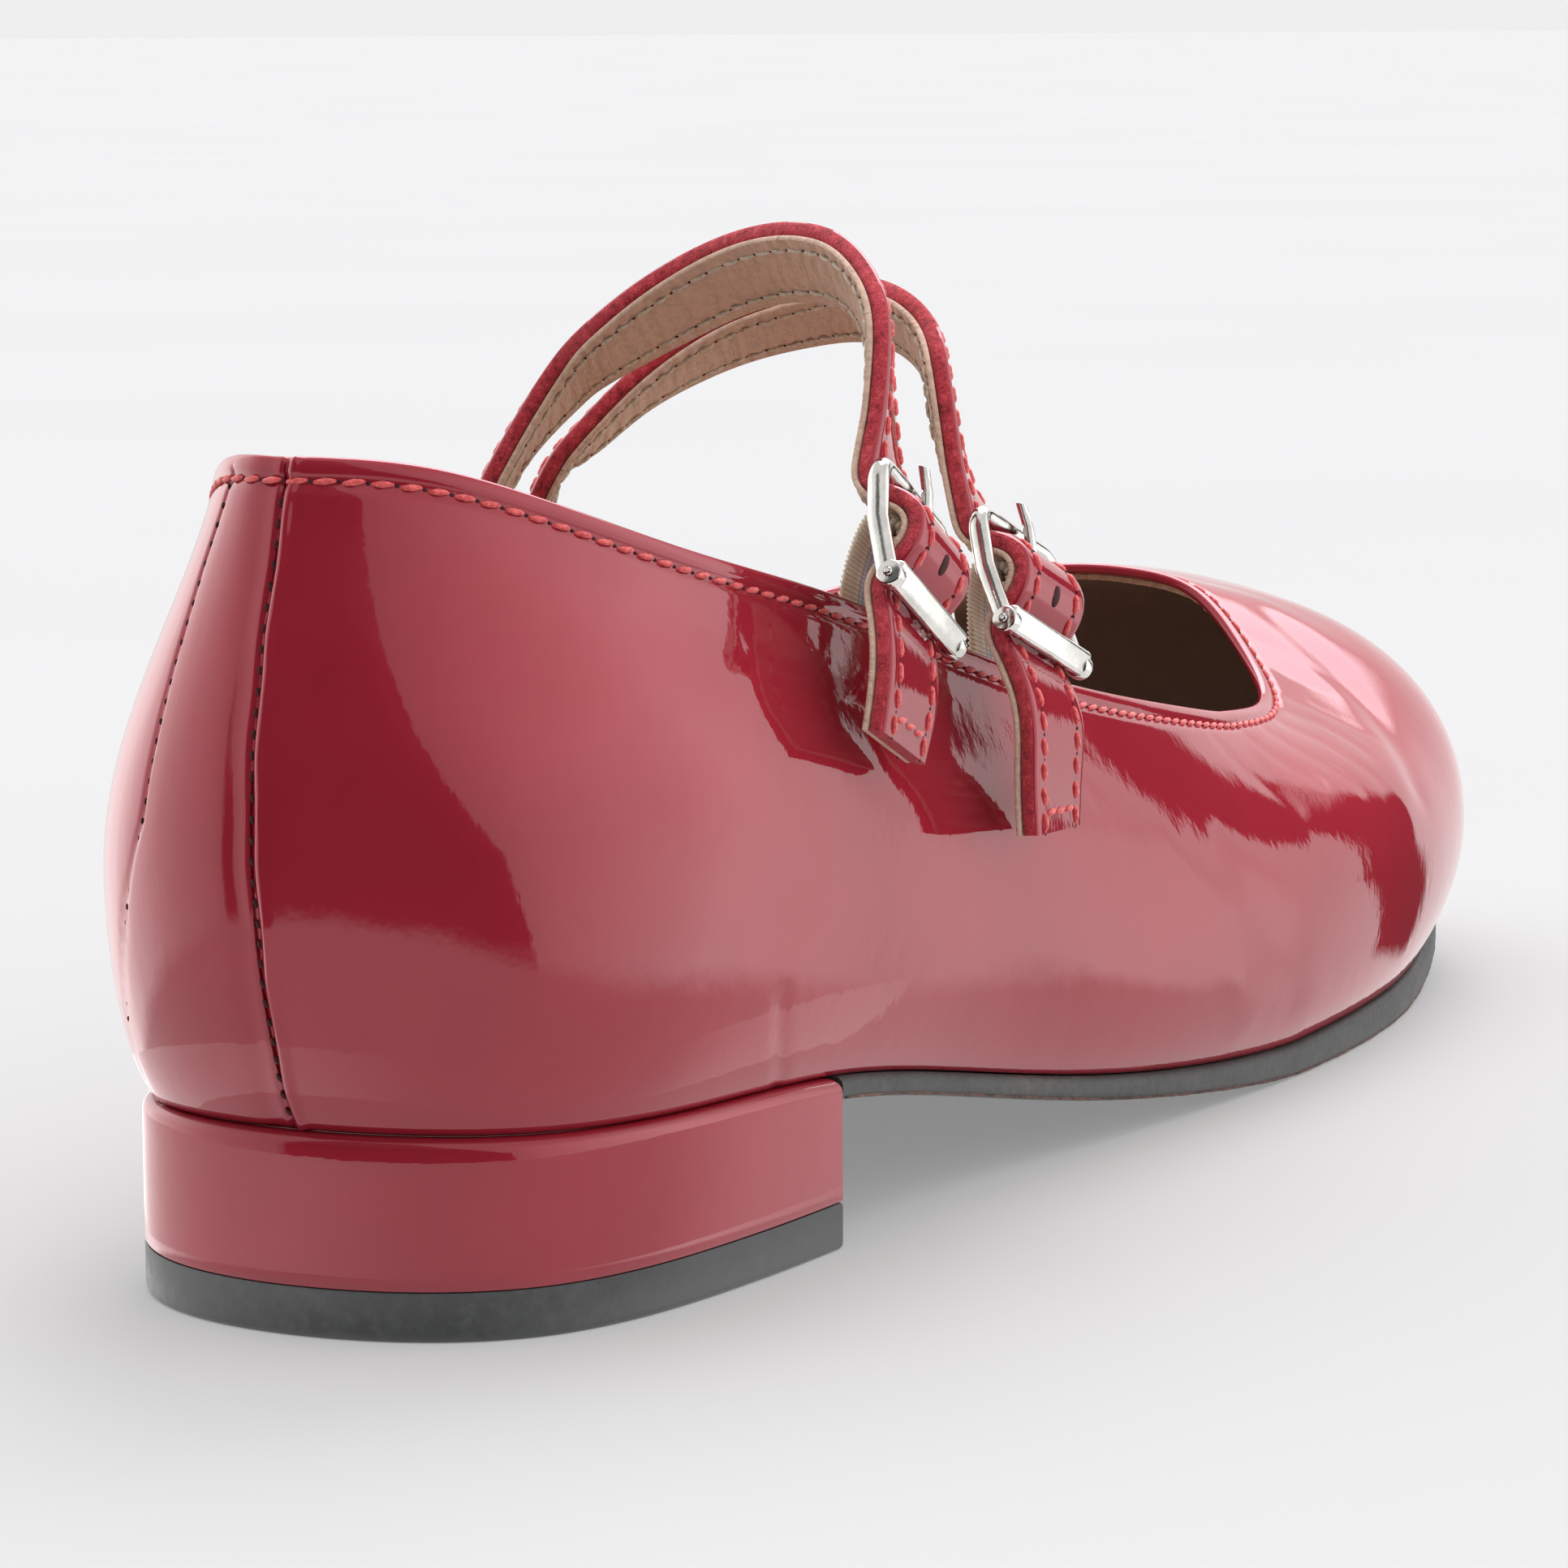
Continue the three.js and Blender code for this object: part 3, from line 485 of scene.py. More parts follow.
# Materials
class Finish:
    """A material with a Principled shader and short ways to add its detail."""

    def __init__(self, name, **sockets):
        self.material = bpy.data.materials.new(name)
        self.material.use_nodes = True
        self.nodes = self.material.node_tree.nodes
        self.links = self.material.node_tree.links
        self.shader = self.nodes["Principled BSDF"]
        self.coordinates = self.nodes.new("ShaderNodeTexCoord")
        for socket, value in sockets.items():
            self.shader.inputs[socket.replace("_", " ")].default_value = value

    def mapped(self, scale, output="Object"):
        mapping = self.nodes.new("ShaderNodeMapping")
        mapping.inputs["Scale"].default_value = scale
        self.links.new(self.coordinates.outputs[output], mapping.inputs["Vector"])
        return mapping.outputs["Vector"]

    def noise(self, scale, detail=2.0, roughness=0.5, stretch=(1, 1, 1), output="Object"):
        node = self.nodes.new("ShaderNodeTexNoise")
        node.inputs["Scale"].default_value = scale
        node.inputs["Detail"].default_value = detail
        node.inputs["Roughness"].default_value = roughness
        self.links.new(self.mapped(stretch, output), node.inputs["Vector"])
        return node.outputs["Fac"]

    def cells(self, scale, stretch=(1, 1, 1), feature="F1", output="Object"):
        node = self.nodes.new("ShaderNodeTexVoronoi")
        node.feature = feature
        node.inputs["Scale"].default_value = scale
        self.links.new(self.mapped(stretch, output), node.inputs["Vector"])
        return node.outputs["Distance"]

    def waves(self, scale, distortion=0.0, axis="X", stretch=(1, 1, 1), output="UV"):
        node = self.nodes.new("ShaderNodeTexWave")
        node.bands_direction = axis
        node.inputs["Scale"].default_value = scale
        node.inputs["Distortion"].default_value = distortion
        self.links.new(self.mapped(stretch, output), node.inputs["Vector"])
        return node.outputs["Fac"]

    def range(self, value, low, high, from_low=0.0, from_high=1.0):
        node = self.nodes.new("ShaderNodeMapRange")
        node.inputs["From Min"].default_value = from_low
        node.inputs["From Max"].default_value = from_high
        node.inputs["To Min"].default_value = low
        node.inputs["To Max"].default_value = high
        self.links.new(value, node.inputs["Value"])
        return node.outputs["Result"]

    def colours(self, value, stops, smooth_stops=True):
        node = self.nodes.new("ShaderNodeValToRGB")
        ramp = node.color_ramp
        ramp.interpolation = "EASE" if smooth_stops else "LINEAR"
        while len(ramp.elements) < len(stops):
            ramp.elements.new(0.5)
        for element, (position, colour) in zip(ramp.elements, stops):
            element.position = position
            element.color = (*colour, 1)
        self.links.new(value, node.inputs["Fac"])
        return node.outputs["Color"]

    def sum(self, first, second, share):
        """first plus a share of second."""
        node = self.nodes.new("ShaderNodeMath")
        node.operation = "MULTIPLY_ADD"
        node.inputs[1].default_value = share
        self.links.new(second, node.inputs[0])
        self.links.new(first, node.inputs[2])
        return node.outputs["Value"]

    def calculate(self, operation, first, second=None):
        node = self.nodes.new("ShaderNodeMath")
        node.operation = operation
        self.links.new(first, node.inputs[0])
        if second is not None:
            node.inputs[1].default_value = second
        return node.outputs["Value"]

    def mix(self, factor, first, second):
        node = self.nodes.new("ShaderNodeMix")
        node.data_type = "RGBA"
        self.links.new(factor, node.inputs["Factor"])
        for colour, socket in ((first, node.inputs["A"]), (second, node.inputs["B"])):
            if isinstance(colour, tuple):
                socket.default_value = (*colour, 1)
            else:
                self.links.new(colour, socket)
        return node.outputs["Result"]

    def put(self, socket, value):
        self.links.new(value, self.shader.inputs[socket])

    def bump(self, height, distance, strength=1.0, sockets=("Normal",)):
        node = self.nodes.new("ShaderNodeBump")
        node.inputs["Distance"].default_value = distance * MM
        node.inputs["Strength"].default_value = strength
        self.links.new(height, node.inputs["Height"])
        for socket in sockets:
            self.links.new(node.outputs["Normal"], self.shader.inputs[socket])


def patent_leather():
    finish = Finish("patent_leather", Roughness=0.26, Metallic=0.15, Specular_IOR_Level=0.0,
                    Coat_Weight=0.85, Coat_Roughness=0.02, Coat_IOR=1.5)
    finish.shader.inputs["Specular Tint"].default_value = (1, 0.06, 0.09, 1)
    tone = finish.noise(35, 3, 0.55)
    finish.put("Base Color", finish.colours(tone, [
        (0.3, (0.272, 0.0145, 0.027)),
        (0.7, (0.308, 0.0178, 0.033)),
    ]))
    ripple = finish.sum(finish.noise(90, 2), finish.noise(330, 2), 0.35)
    grain = finish.sum(finish.noise(520, 3, 0.6, (1, 1, 0.35)), finish.cells(1500), 0.12)
    finish.bump(finish.sum(ripple, grain, 0.3), 0.05, 1.0, ("Normal", "Coat Normal"))
    return finish.material


def fuzzy_edge():
    finish = Finish("painted_edge", Roughness=0.9, Sheen_Weight=0.2, Sheen_Roughness=0.5)
    finish.shader.inputs["Sheen Tint"].default_value = (1, 0.55, 0.55, 1)
    fuzz = finish.sum(finish.noise(1100, 4, 0.7), finish.noise(4200, 3, 0.7), 0.6)
    finish.put("Base Color", finish.colours(finish.range(fuzz, 0, 1, 0.55, 1.05), [
        (0.1, (0.2, 0.01, 0.018)),
        (0.5, (0.46, 0.026, 0.042)),
        (0.95, (0.64, 0.08, 0.1)),
    ]))
    finish.bump(fuzz, 0.35, 0.9)
    return finish.material


def lining_leather(name="lining_leather", light=(0.58, 0.36, 0.235), dark=(0.4, 0.222, 0.135)):
    finish = Finish(name, Roughness=0.72)
    grain = finish.sum(finish.noise(260, 4, 0.6), finish.cells(1900), 0.35)
    finish.put("Base Color", finish.colours(finish.range(grain, 0, 1, 0.35, 0.95), [
        (0.1, dark),
        (0.75, light),
    ]))
    finish.bump(grain, 0.16, 0.8)
    return finish.material


def lining_with_painted_shade():
    """Lining of the upper: its tan is pale near its raw edge, with painted shade that darkens it with depth into the
    shoe. UV: u runs round its section.
    """
    finish = Finish("lining_with_painted_shade", Roughness=0.8)
    grain = finish.sum(finish.noise(260, 4, 0.6), finish.cells(1900), 0.35)
    place = finish.nodes.new("ShaderNodeSeparateXYZ")
    finish.links.new(finish.coordinates.outputs["UV"], place.inputs["Vector"])
    depth = finish.sum(place.outputs["X"], grain, 0.05)
    # Painted shade: the tan turns darker and greyer deeper inside the shoe, where less light reaches
    finish.put("Base Color", finish.colours(depth, [
        (0.5, (0.66, 0.5, 0.38)),
        (0.57, (0.6, 0.44, 0.33)),
        (0.64, (0.47, 0.37, 0.31)),
        (0.72, (0.36, 0.29, 0.26)),
    ]))
    finish.bump(grain, 0.16, 0.8)
    return finish.material


def strap_lining_with_painted_shade():
    """Lining of the straps, wrinkled crosswise, with painted shade darkening the troughs of the wrinkles. UV: v runs
    along the strap in millimetres.
    """
    finish = Finish("strap_lining_with_painted_shade", Roughness=0.75)
    wrinkles_and_painted_shade = finish.noise(1, 3, 0.6, (3.5, 0.8, 1), "UV")
    grain = finish.sum(finish.noise(900, 3, 0.6), finish.cells(2400), 0.3)
    # Painted shade: the colour follows the wrinkles, lighter on their crests and darker in their troughs, over the
    # leather's own grain
    tone = finish.sum(finish.range(grain, 0.2, 0.7, 0.4, 0.95), wrinkles_and_painted_shade, 0.45)
    finish.put("Base Color", finish.colours(finish.range(tone, 0, 1, 0.35, 1.35), [
        (0.1, (0.5, 0.34, 0.255)),
        (0.4, (0.6, 0.41, 0.31)),
        (0.85, (0.74, 0.54, 0.42)),
    ]))
    finish.bump(finish.sum(wrinkles_and_painted_shade, grain, 0.12), 0.45, 1.0)
    return finish.material


def raw_leather_edge():
    finish = Finish("raw_lining_edge", Roughness=0.95)
    fuzz = finish.sum(finish.noise(900, 4, 0.7), finish.noise(4000, 3, 0.7), 0.7)
    finish.put("Base Color", finish.colours(finish.range(fuzz, 0, 1, 0.5, 1.15), [
        (0.05, (0.4, 0.25, 0.17)),
        (0.5, (0.6, 0.39, 0.28)),
        (0.95, (0.82, 0.66, 0.55)),
    ]))
    finish.bump(fuzz, 0.3, 1.0)
    return finish.material


def thread(name, dark, light):
    finish = Finish(name, Roughness=0.6, Sheen_Weight=0.3)
    ply = finish.sum(finish.noise(2600, 2), finish.noise(9000, 2), 0.5)
    finish.put("Base Color", finish.colours(finish.range(ply, 0, 1, 0.45, 1.0), [(0.1, dark), (0.9, light)]))
    finish.bump(ply, 0.1, 0.8)
    return finish.material


def painted_hole_shade():
    # Painted shade: a near-black colour that stands for the shade inside needle holes and punched holes
    finish = Finish("painted_hole_shade", Roughness=0.9)
    shade = finish.noise(2500, 2)
    finish.put("Base Color", finish.colours(shade, [(0.3, (0.02, 0.002, 0.003)), (0.7, (0.07, 0.008, 0.01))]))
    return finish.material


def polished_metal():
    finish = Finish("polished_nickel", Metallic=1.0)
    wear = finish.noise(420, 4, 0.6)
    scratches = finish.noise(700, 3, 0.6, (1, 9, 3))
    finish.put("Base Color", finish.colours(wear, [(0.3, (0.5, 0.485, 0.455)), (0.7, (0.64, 0.62, 0.59))]))
    finish.put("Roughness", finish.range(scratches, 0.05, 0.17, 0.3, 0.75))
    finish.bump(finish.sum(wear, scratches, 0.4), 0.03, 0.6)
    return finish.material


def top_piece_rubber():
    finish = Finish("heel_rubber", Roughness=0.5)
    grain = finish.sum(finish.noise(700, 4, 0.65), finish.noise(60, 3), 0.8)
    finish.put("Base Color", finish.colours(finish.range(grain, 0, 1, 0.6, 1.2), [
        (0.1, (0.023, 0.0245, 0.026)),
        (0.9, (0.051, 0.0535, 0.056)),
    ]))
    finish.put("Roughness", finish.range(grain, 0.4, 0.62, 0.6, 1.2))
    finish.bump(grain, 0.06, 0.7)
    return finish.material


def sole_rubber():
    finish = Finish("sole_edge", Roughness=0.6)
    grain = finish.sum(finish.noise(900, 4, 0.7), finish.noise(140, 3, 0.6), 0.8)
    finish.put("Base Color", finish.colours(finish.range(grain, 0, 1, 0.55, 1.3), [
        (0.1, (0.017, 0.0165, 0.016)),
        (0.55, (0.036, 0.0345, 0.033)),
        (0.95, (0.075, 0.066, 0.058)),
    ]))
    finish.bump(grain, 0.16, 0.9)
    return finish.material


def bare_edge():
    finish = Finish("bare_brown_edge", Roughness=0.9)
    shade = finish.sum(finish.noise(420, 3, 0.65), finish.noise(2600, 2), 0.4)
    finish.put("Base Color", finish.colours(finish.range(shade, 0, 1, 0.45, 1.0), [
        (0.15, (0.035, 0.026, 0.022)),
        (0.55, (0.12, 0.062, 0.048)),
        (0.9, (0.2, 0.11, 0.085)),
    ]))
    finish.bump(shade, 0.1, 0.8)
    return finish.material


def elastic_webbing_with_painted_shade():
    """The ribbed webbing, with painted shade in the grooves between its ribs. UV: u runs round the band's section, v
    along it in millimetres.
    """
    finish = Finish("elastic_webbing_with_painted_shade", Roughness=0.85, Sheen_Weight=0.3)
    place = finish.nodes.new("ShaderNodeSeparateXYZ")
    finish.links.new(finish.coordinates.outputs["UV"], place.inputs["Vector"])
    folded = finish.calculate("FRACT", finish.calculate("MULTIPLY", place.outputs["X"], 2.0))
    from_middle = finish.calculate("ABSOLUTE", finish.calculate("SUBTRACT", folded, 0.63))
    cord = finish.colours(from_middle, [
        (0.0, (0.3, 0.3, 0.34)),
        (0.04, (0.66, 0.69, 0.78)),
        (0.08, (0.36, 0.36, 0.41)),
        (0.12, (0.64, 0.67, 0.75)),
        (0.15, (0.42, 0.37, 0.3)),
        (0.18, (0.8, 0.7, 0.54)),
        (0.25, (0.68, 0.58, 0.43)),
        (0.37, (0.86, 0.77, 0.61)),
    ], False)
    # Painted shade: the cord colour turns dark brown in the grooves between the ribs, in step with the ribs of the
    # band's shape
    turns = finish.calculate("MULTIPLY", place.outputs["Y"], 2 * math.pi / RIB_PITCH)
    rib = finish.calculate("SINE", turns)
    shade = finish.range(rib, 0.42, 0.0, -1.0, 0.2)
    finish.put("Base Color", finish.mix(shade, cord, (0.14, 0.105, 0.07)))
    finish.bump(finish.noise(3500, 3, 0.7), 0.12, 0.8)
    return finish.material


RED_PATENT = patent_leather()
RED_EDGE = fuzzy_edge()
TAN_LINING = lining_leather()
TAN_EDGE = raw_leather_edge()
SHOE_LINING = lining_with_painted_shade()
STRAP_TAN = strap_lining_with_painted_shade()
CORAL_THREAD = thread("coral_thread", (0.5, 0.03, 0.035), (0.83, 0.12, 0.115))
BEIGE_THREAD = thread("beige_thread", (0.42, 0.33, 0.24), (0.68, 0.6, 0.48))
HOLE_SHADE = painted_hole_shade()
NICKEL = polished_metal()
TOP_RUBBER = top_piece_rubber()
SOLE_EDGE = sole_rubber()
ELASTIC = elastic_webbing_with_painted_shade()
BROWN_LINE = bare_edge()


# Creases pressed into the leather
def near_line(points, line):
    """Distances of points to a line of points, in millimetres."""
    best = np.full(points.shape[:-1], 1e9)
    for start, end in zip(line[:-1], line[1:]):
        along = end - start
        share = np.clip(((points - start) @ along) / max(along @ along, 1e-9), 0, 1)
        best = np.minimum(best, np.linalg.norm(points - start - share[..., None] * along, axis=-1))
    return best


# The seam on the inner side of the back: a place round the foot and a distance below the top edge
SIDE_SEAM = [(23.42, 1.5), (23.39, 9.5), (23.43, 17), (23.46, 25), (23.46, 33), (23.3, 42), (23.1, 52), (23, 62)]

# Creases, each with its line on the wall, its depth and its width. A negative depth is a ridge.
CREASES = [
    ([(2.2, 41), (2.26, 45), (2.38, 50)], 0.17, 0.9),
    ([(5.2, 17), (5.5, 25), (5.9, 36)], -0.12, 3.0),
    ([(5.6, 17), (5.95, 26), (6.3, 34)], 0.11, 3.2),
    ([(9.9, 12), (9.4, 16.5), (8.9, 20), (8.3, 23)], 0.22, 3.0),
    ([(9.2, 11), (8.9, 15), (8.4, 18.5), (7.9, 21)], -0.14, 3.2),
    ([(10.8, 12), (10.5, 18), (10, 25)], 0.14, 3.5),
    ([(6.2, 4), (6.3, 8), (6.6, 14)], 0.054, 1.25),
    ([(6.7, 3.6), (6.85, 8), (7.1, 12)], 0.063, 1.25),
    ([(7.1, 3.6), (7.3, 9), (7.5, 15)], 0.063, 1.35),
    ([(7.5, 3.6), (7.7, 8), (7.8, 16)], 0.072, 1.25),
    ([(7.9, 3.6), (8.1, 8), (8.1, 14)], 0.072, 1.35),
    ([(8.3, 3.6), (8.4, 8), (8.5, 17)], 0.063, 1.25),
    ([(8.8, 3.6), (8.85, 9), (8.9, 13)], 0.063, 1.35),
    ([(9.3, 3.6), (9.3, 8), (9.2, 14)], 0.054, 1.35),
    ([(4.4, 4), (4.5, 9), (4.7, 14)], 0.06, 1.0),
    ([(1.4, 30), (2.2, 33), (3.2, 33), (4.4, 31)], 0.09, 3.5),
    ([(3.1, 14), (3.6, 20), (4.4, 24)], 0.09, 3.0),
    ([(0.9, 6), (1.3, 9), (1.8, 10)], 0.04, 1.2),
    ([(1.1, 4.5), (1.5, 7), (2.1, 8)], 0.04, 1.0),
]


def upper_shell():
    """The patent leather of the upper: its outer face, the folded top edge and the turned-in strip."""
    places = np.arange(SECTION_COUNT * 26) / 26
    back = np.arange(-0.13, 0.131, 0.01) % SECTION_COUNT
    inner_side = np.arange(23.34, 23.58, 0.012)
    places = np.unique(np.round(np.concatenate([places, back, inner_side]), 4))
    fold = PATENT_THICKNESS / 2
    near = np.concatenate([np.arange(9.0, 4.4, -0.7), np.arange(4.2, fold, -0.32), [fold]])
    outer = wall_rows(places, near, 70)
    outer = softened(outer, 16)
    normals = loop_normals(outer)
    outer = outer + normals * relief(places, outer, near)[..., None]
    normals = loop_normals(outer)
    up = unit(outer[:, -1] - outer[:, -2])
    turns = np.linspace(0, math.pi, 8)[1:]
    rim = [outer[:, -1] + normals[:, -1] * fold * (math.cos(a) - 1) + up * fold * math.sin(a) for a in turns]
    facing_drops = np.array([9, 6.5, 4.4, 3, 2, 1.2])
    facing = wall_rows(places, facing_drops, 12)
    facing = facing - loop_normals(facing) * PATENT_THICKNESS
    margin_low = [flange(places, share, MEET_GAP) for share in (1, 0.6, 0.25)]
    margin_high = [flange(places, share, MEET_GAP + PATENT_THICKNESS) for share in (0.25, 0.6, 1)]
    rings = [np.stack(margin_low, 1), outer, np.stack(rim, 1), facing[:, ::-1], np.stack(margin_high, 1)]
    piece = sheet_through("upper_patent", np.concatenate(rings, axis=1), True, True)
    face_outwards(piece)
    smooth(piece)
    return dress(piece, RED_PATENT, "patent", "upper")


def flange(places, share, rise):
    """The lasting margin, turned in under the foot."""
    points = outline_point(places, SOLE_SETBACK + LASTING_MARGIN * share)
    points[:, 2] = sole_top(points[:, 0]) + rise
    return points


def softened(points, rounds):
    """Evens out the curvature up the wall, with its two ends held."""
    for _ in range(rounds):
        points[:, 1:-1] = (points[:, :-2] + 2 * points[:, 1:-1] + points[:, 2:]) / 4
    return points


def relief(places, outer, near):
    """How far each point of the outer face stands out, in millimetres."""
    drops = np.concatenate([np.full(outer.shape[1] - len(near), 99.0), near])
    channel = -0.28 * np.exp(-((drops - COLLAR_STITCH_DROP) / 0.55) ** 2)
    roll = 0.1 * np.exp(-((drops - 1.0) / 0.6) ** 2)
    height = np.broadcast_to(channel + roll, outer.shape[:2]).copy()
    height += back_seam_relief(outer)
    height += side_seam_relief(outer)
    for line, depth, width in CREASES:
        distance = near_line(outer, on_wall(line))
        height -= depth * np.exp(-(distance / width) ** 2)
    return height


def on_wall(line):
    """Points of the outer face at rows of a place round the foot and a distance below the top edge."""
    return np.array([wall_rows(np.array([place]), [drop], 0)[0, 0] for place, drop in line])


def back_seam_place(z):
    """How far the back seam wanders to the side, at heights."""
    return 0.2 * np.sin(z * 0.13) + 0.09 * np.sin(z * 0.61 + 1)


def back_seam_relief(outer):
    """The back seam: a sharp valley with a rolled ridge on its outer side."""
    side = outer[..., 1] - back_seam_place(outer[..., 2])
    swell = 1 + 0.25 * np.sin(outer[..., 2] * 0.9) * np.sin(outer[..., 2] * 0.37)
    valley = -0.34 * np.exp(-(side / 0.28) ** 2)
    ridge = 0.34 * swell * np.exp(-((side + 0.9) / 0.5) ** 2)
    pull = -0.2 * np.exp(-((side - 1.6) / 1.3) ** 2)
    return np.where(outer[..., 0] < SOLE_LENGTH / 8, valley + ridge + pull, 0)


def side_seam_relief(outer):
    """The second seam, on the inner side of the back."""
    distance = near_line(outer, on_wall(SIDE_SEAM))
    return -0.24 * np.exp(-(distance / 0.3) ** 2) - 0.06 * np.exp(-(distance / 1.4) ** 2)


def upper_lining():
    """The lining: a thin sheet inside the wall, with a raw edge below the collar."""
    places = np.arange(SECTION_COUNT * 14) / 14
    drops = np.array([16, 12, 8, 4.6, LINING_DROP])
    wave = 0.22 * np.sin(places * 9.1) + 0.14 * np.sin(places * 23.7 + 1) + 0.1 * np.sin(places * 51 + 2)
    back = wall_rows(places, drops, 14)
    normals = loop_normals(back)
    up = unit(back[:, -1] - back[:, -2])
    back[:, -1] += up * wave[:, None]
    outer = back - normals * (PATENT_THICKNESS + 0.06)
    inner = back - normals * WALL
    inner[:, -1] -= up * 0.15
    inner += normals * 0.05 * np.sin(places * 31)[:, None, None]
    piece = sheet_through("upper_lining", np.concatenate([outer, inner[:, ::-1]], axis=1), True, True)
    face_outwards(piece)
    smooth(piece, 50)
    dress(piece, SHOE_LINING, "lining")
    piece.data.materials.append(TAN_EDGE)
    around = piece.data.uv_layers.active.data
    for polygon in piece.data.polygons:
        centre = sum(around[i].uv[0] for i in polygon.loop_indices) / len(polygon.loop_indices)
        polygon.material_index = 1 if 0.475 < centre < 0.512 else 0
    return piece


# Soles and heel
def place_along(x, start, end):
    """The place on one half of the outline that lies at a distance along the shoe."""
    low, high = float(start), float(end)
    for _ in range(30):
        middle = (low + high) / 2
        if outline_point(np.array([middle]), 0)[0, 0] < x:
            low = middle
        else:
            high = middle
    return (low + high) / 2


def slab(name, start_x, end_x, profile, stations=150, across=16):
    """A slab between two distances along the shoe that follows the outline.

    profile gives the edge from the lowest ring up: an inset and a height at distances along.
    """
    shares = (1 - np.cos(np.linspace(0, math.pi, stations))) / 2
    outer_from, outer_to = place_along(start_x, 0, TOE_SECTION), place_along(end_x, 0, TOE_SECTION)
    inner_from = place_along(start_x, SECTION_COUNT, TOE_SECTION)
    inner_to = place_along(end_x, SECTION_COUNT, TOE_SECTION)
    outer = outer_from + (outer_to - outer_from) * shares
    inner = inner_from + (inner_to - inner_from) * shares
    ring = []
    spread = (1 - np.cos(np.linspace(0, math.pi, across))) / 2

    def edge(side, inset, height):
        points = outline_point(side, inset)
        points[:, 2] = height(points[:, 0])
        return points

    def between(inset, height, order):
        left, right = outline_point(outer, inset), outline_point(inner, inset)
        for share in order:
            points = left + (right - left) * share
            points[:, 2] = height(points[:, 0])
            ring.append(points)

    between(*profile[0], spread[::-1])
    for inset, height in profile[1:-1]:
        ring.append(edge(outer, inset, height))
    between(*profile[-1], spread)
    for inset, height in profile[-2:0:-1]:
        ring.append(edge(inner, inset, height))
    piece = sheet_through(name, np.stack(ring, 1), False, True)
    fill_ends(piece)
    face_outwards(piece)
    smooth(piece, 40)
    return piece


def sole_edge_line(name, places, height, inset, material):
    """A thin line of bare brown leather along a lower edge: a fine cord laid on the outline."""
    centre = outline_point(places, inset)
    centre[:, 2] = height(centre[:, 0])
    outward = outline_normal(places)
    angles = np.linspace(0, 2 * math.pi, 8, endpoint=False)
    rough = 0.16 * (1 + 0.3 * np.sin(places * 91) * np.sin(places * 37 + 1))
    rings = centre[:, None] + outward[:, None] * (np.cos(angles) * rough[:, None])[..., None]
    rings[..., 2] += np.sin(angles) * rough[:, None]
    piece = sheet_through(name, rings, False, True)
    fill_ends(piece)
    face_outwards(piece)
    smooth(piece)
    return dress(piece, material, "rubber")


def outsole():
    """The thin sole, with softly rounded edges."""
    profile = [
        (1.2, sole_underside),
        (0.5, lambda x: sole_underside(x) + 0.12),
        (0.1, lambda x: sole_underside(x) + 0.5),
        (0.0, lambda x: sole_underside(x) + 1.1),
        (0.0, lambda x: sole_top(x) - 0.7),
        (0.15, lambda x: sole_top(x) - 0.25),
        (0.6, lambda x: sole_top(x) + 0.1),
        (1.6, lambda x: sole_top(x) + 0.12),
    ]
    piece = slab("sole", HEEL_LENGTH + 0.1, SOLE_LENGTH * 1.002, profile)
    start = place_along(HEEL_LENGTH + 1, 0, TOE_SECTION)
    end = place_along(HEEL_LENGTH + 1, SECTION_COUNT, TOE_SECTION)
    sole_edge_line("sole_edge_line", np.linspace(start, end, 420), lambda x: sole_underside(x) + 0.32, 0.22,
                   BROWN_LINE)
    return dress(piece, SOLE_EDGE, "rubber", "outsole")


def insole():
    """The sock over the insole, laid on the lasting margin."""
    floor = WALL + 2 * MEET_GAP

    def dished(depth):
        return lambda x: sole_top(x) + floor + depth

    profile = [
        (SOLE_SETBACK + WALL, dished(0)),
        (SOLE_SETBACK + WALL - 0.2, dished(INSOLE_THICKNESS * 0.5)),
        (SOLE_SETBACK + WALL * 0.6, dished(INSOLE_THICKNESS * 0.85)),
        (SOLE_SETBACK + WALL, dished(INSOLE_THICKNESS)),
    ]
    piece = slab("insole_sock", -SOLE_LENGTH, 2 * SOLE_LENGTH, profile, 120, 14)
    return dress(piece, TAN_LINING, "lining", "insole")


def heel_loop(inset, height, count=110, breast=22):
    """A ring round the heel: the outline from one breast corner to the other, then the breast."""
    start = place_along(HEEL_LENGTH, 0, TOE_SECTION)
    end = place_along(HEEL_LENGTH, SECTION_COUNT, TOE_SECTION) - SECTION_COUNT
    curve = outline_point(np.linspace(start, end, count), inset)
    curve[:, 0] = np.minimum(curve[:, 0], HEEL_LENGTH - inset)
    shares = np.linspace(0, 1, breast + 2)[1:-1, None]
    line = curve[-1] + (curve[0] - curve[-1]) * shares
    ring = np.concatenate([curve, line])
    ring[:, 2] = height(ring[:, 0])
    return ring


def heel_stack(name, rings):
    """A closed block from rings stacked upward, its two ends filled."""
    points = np.stack([heel_loop(inset, height) for inset, height in rings])
    piece = sheet_through(name, points, False, True)
    fill_ends(piece)
    face_outwards(piece)
    smooth(piece, 40)
    return piece


def heel_block():
    """The heel block under its patent cover, with a soft lip round its top."""
    lip = 1.3
    rings = [(0.9, lambda x: x * 0 + TOP_PIECE_HEIGHT + 0.04), (0.15, lambda x: x * 0 + TOP_PIECE_HEIGHT + 0.06)]
    for height in (0.3, 1.5, 4.5, 7.5, 10.5):
        rings.append((0.0, lambda x, height=height: x * 0 + TOP_PIECE_HEIGHT + height))
    rings.append((0.0, lambda x: sole_top(x) - lip))
    for turn in (20, 40, 60, 75, 90):
        angle = math.radians(turn)
        rings.append((lip * (1 - math.cos(angle)), lambda x, a=angle: sole_top(x) - lip * (1 - math.sin(a))))
    rings.append((lip * 2.2, lambda x: sole_top(x)))
    piece = heel_stack("heel_cover", rings)
    return dress(piece, RED_PATENT, "patent", "heel_block")


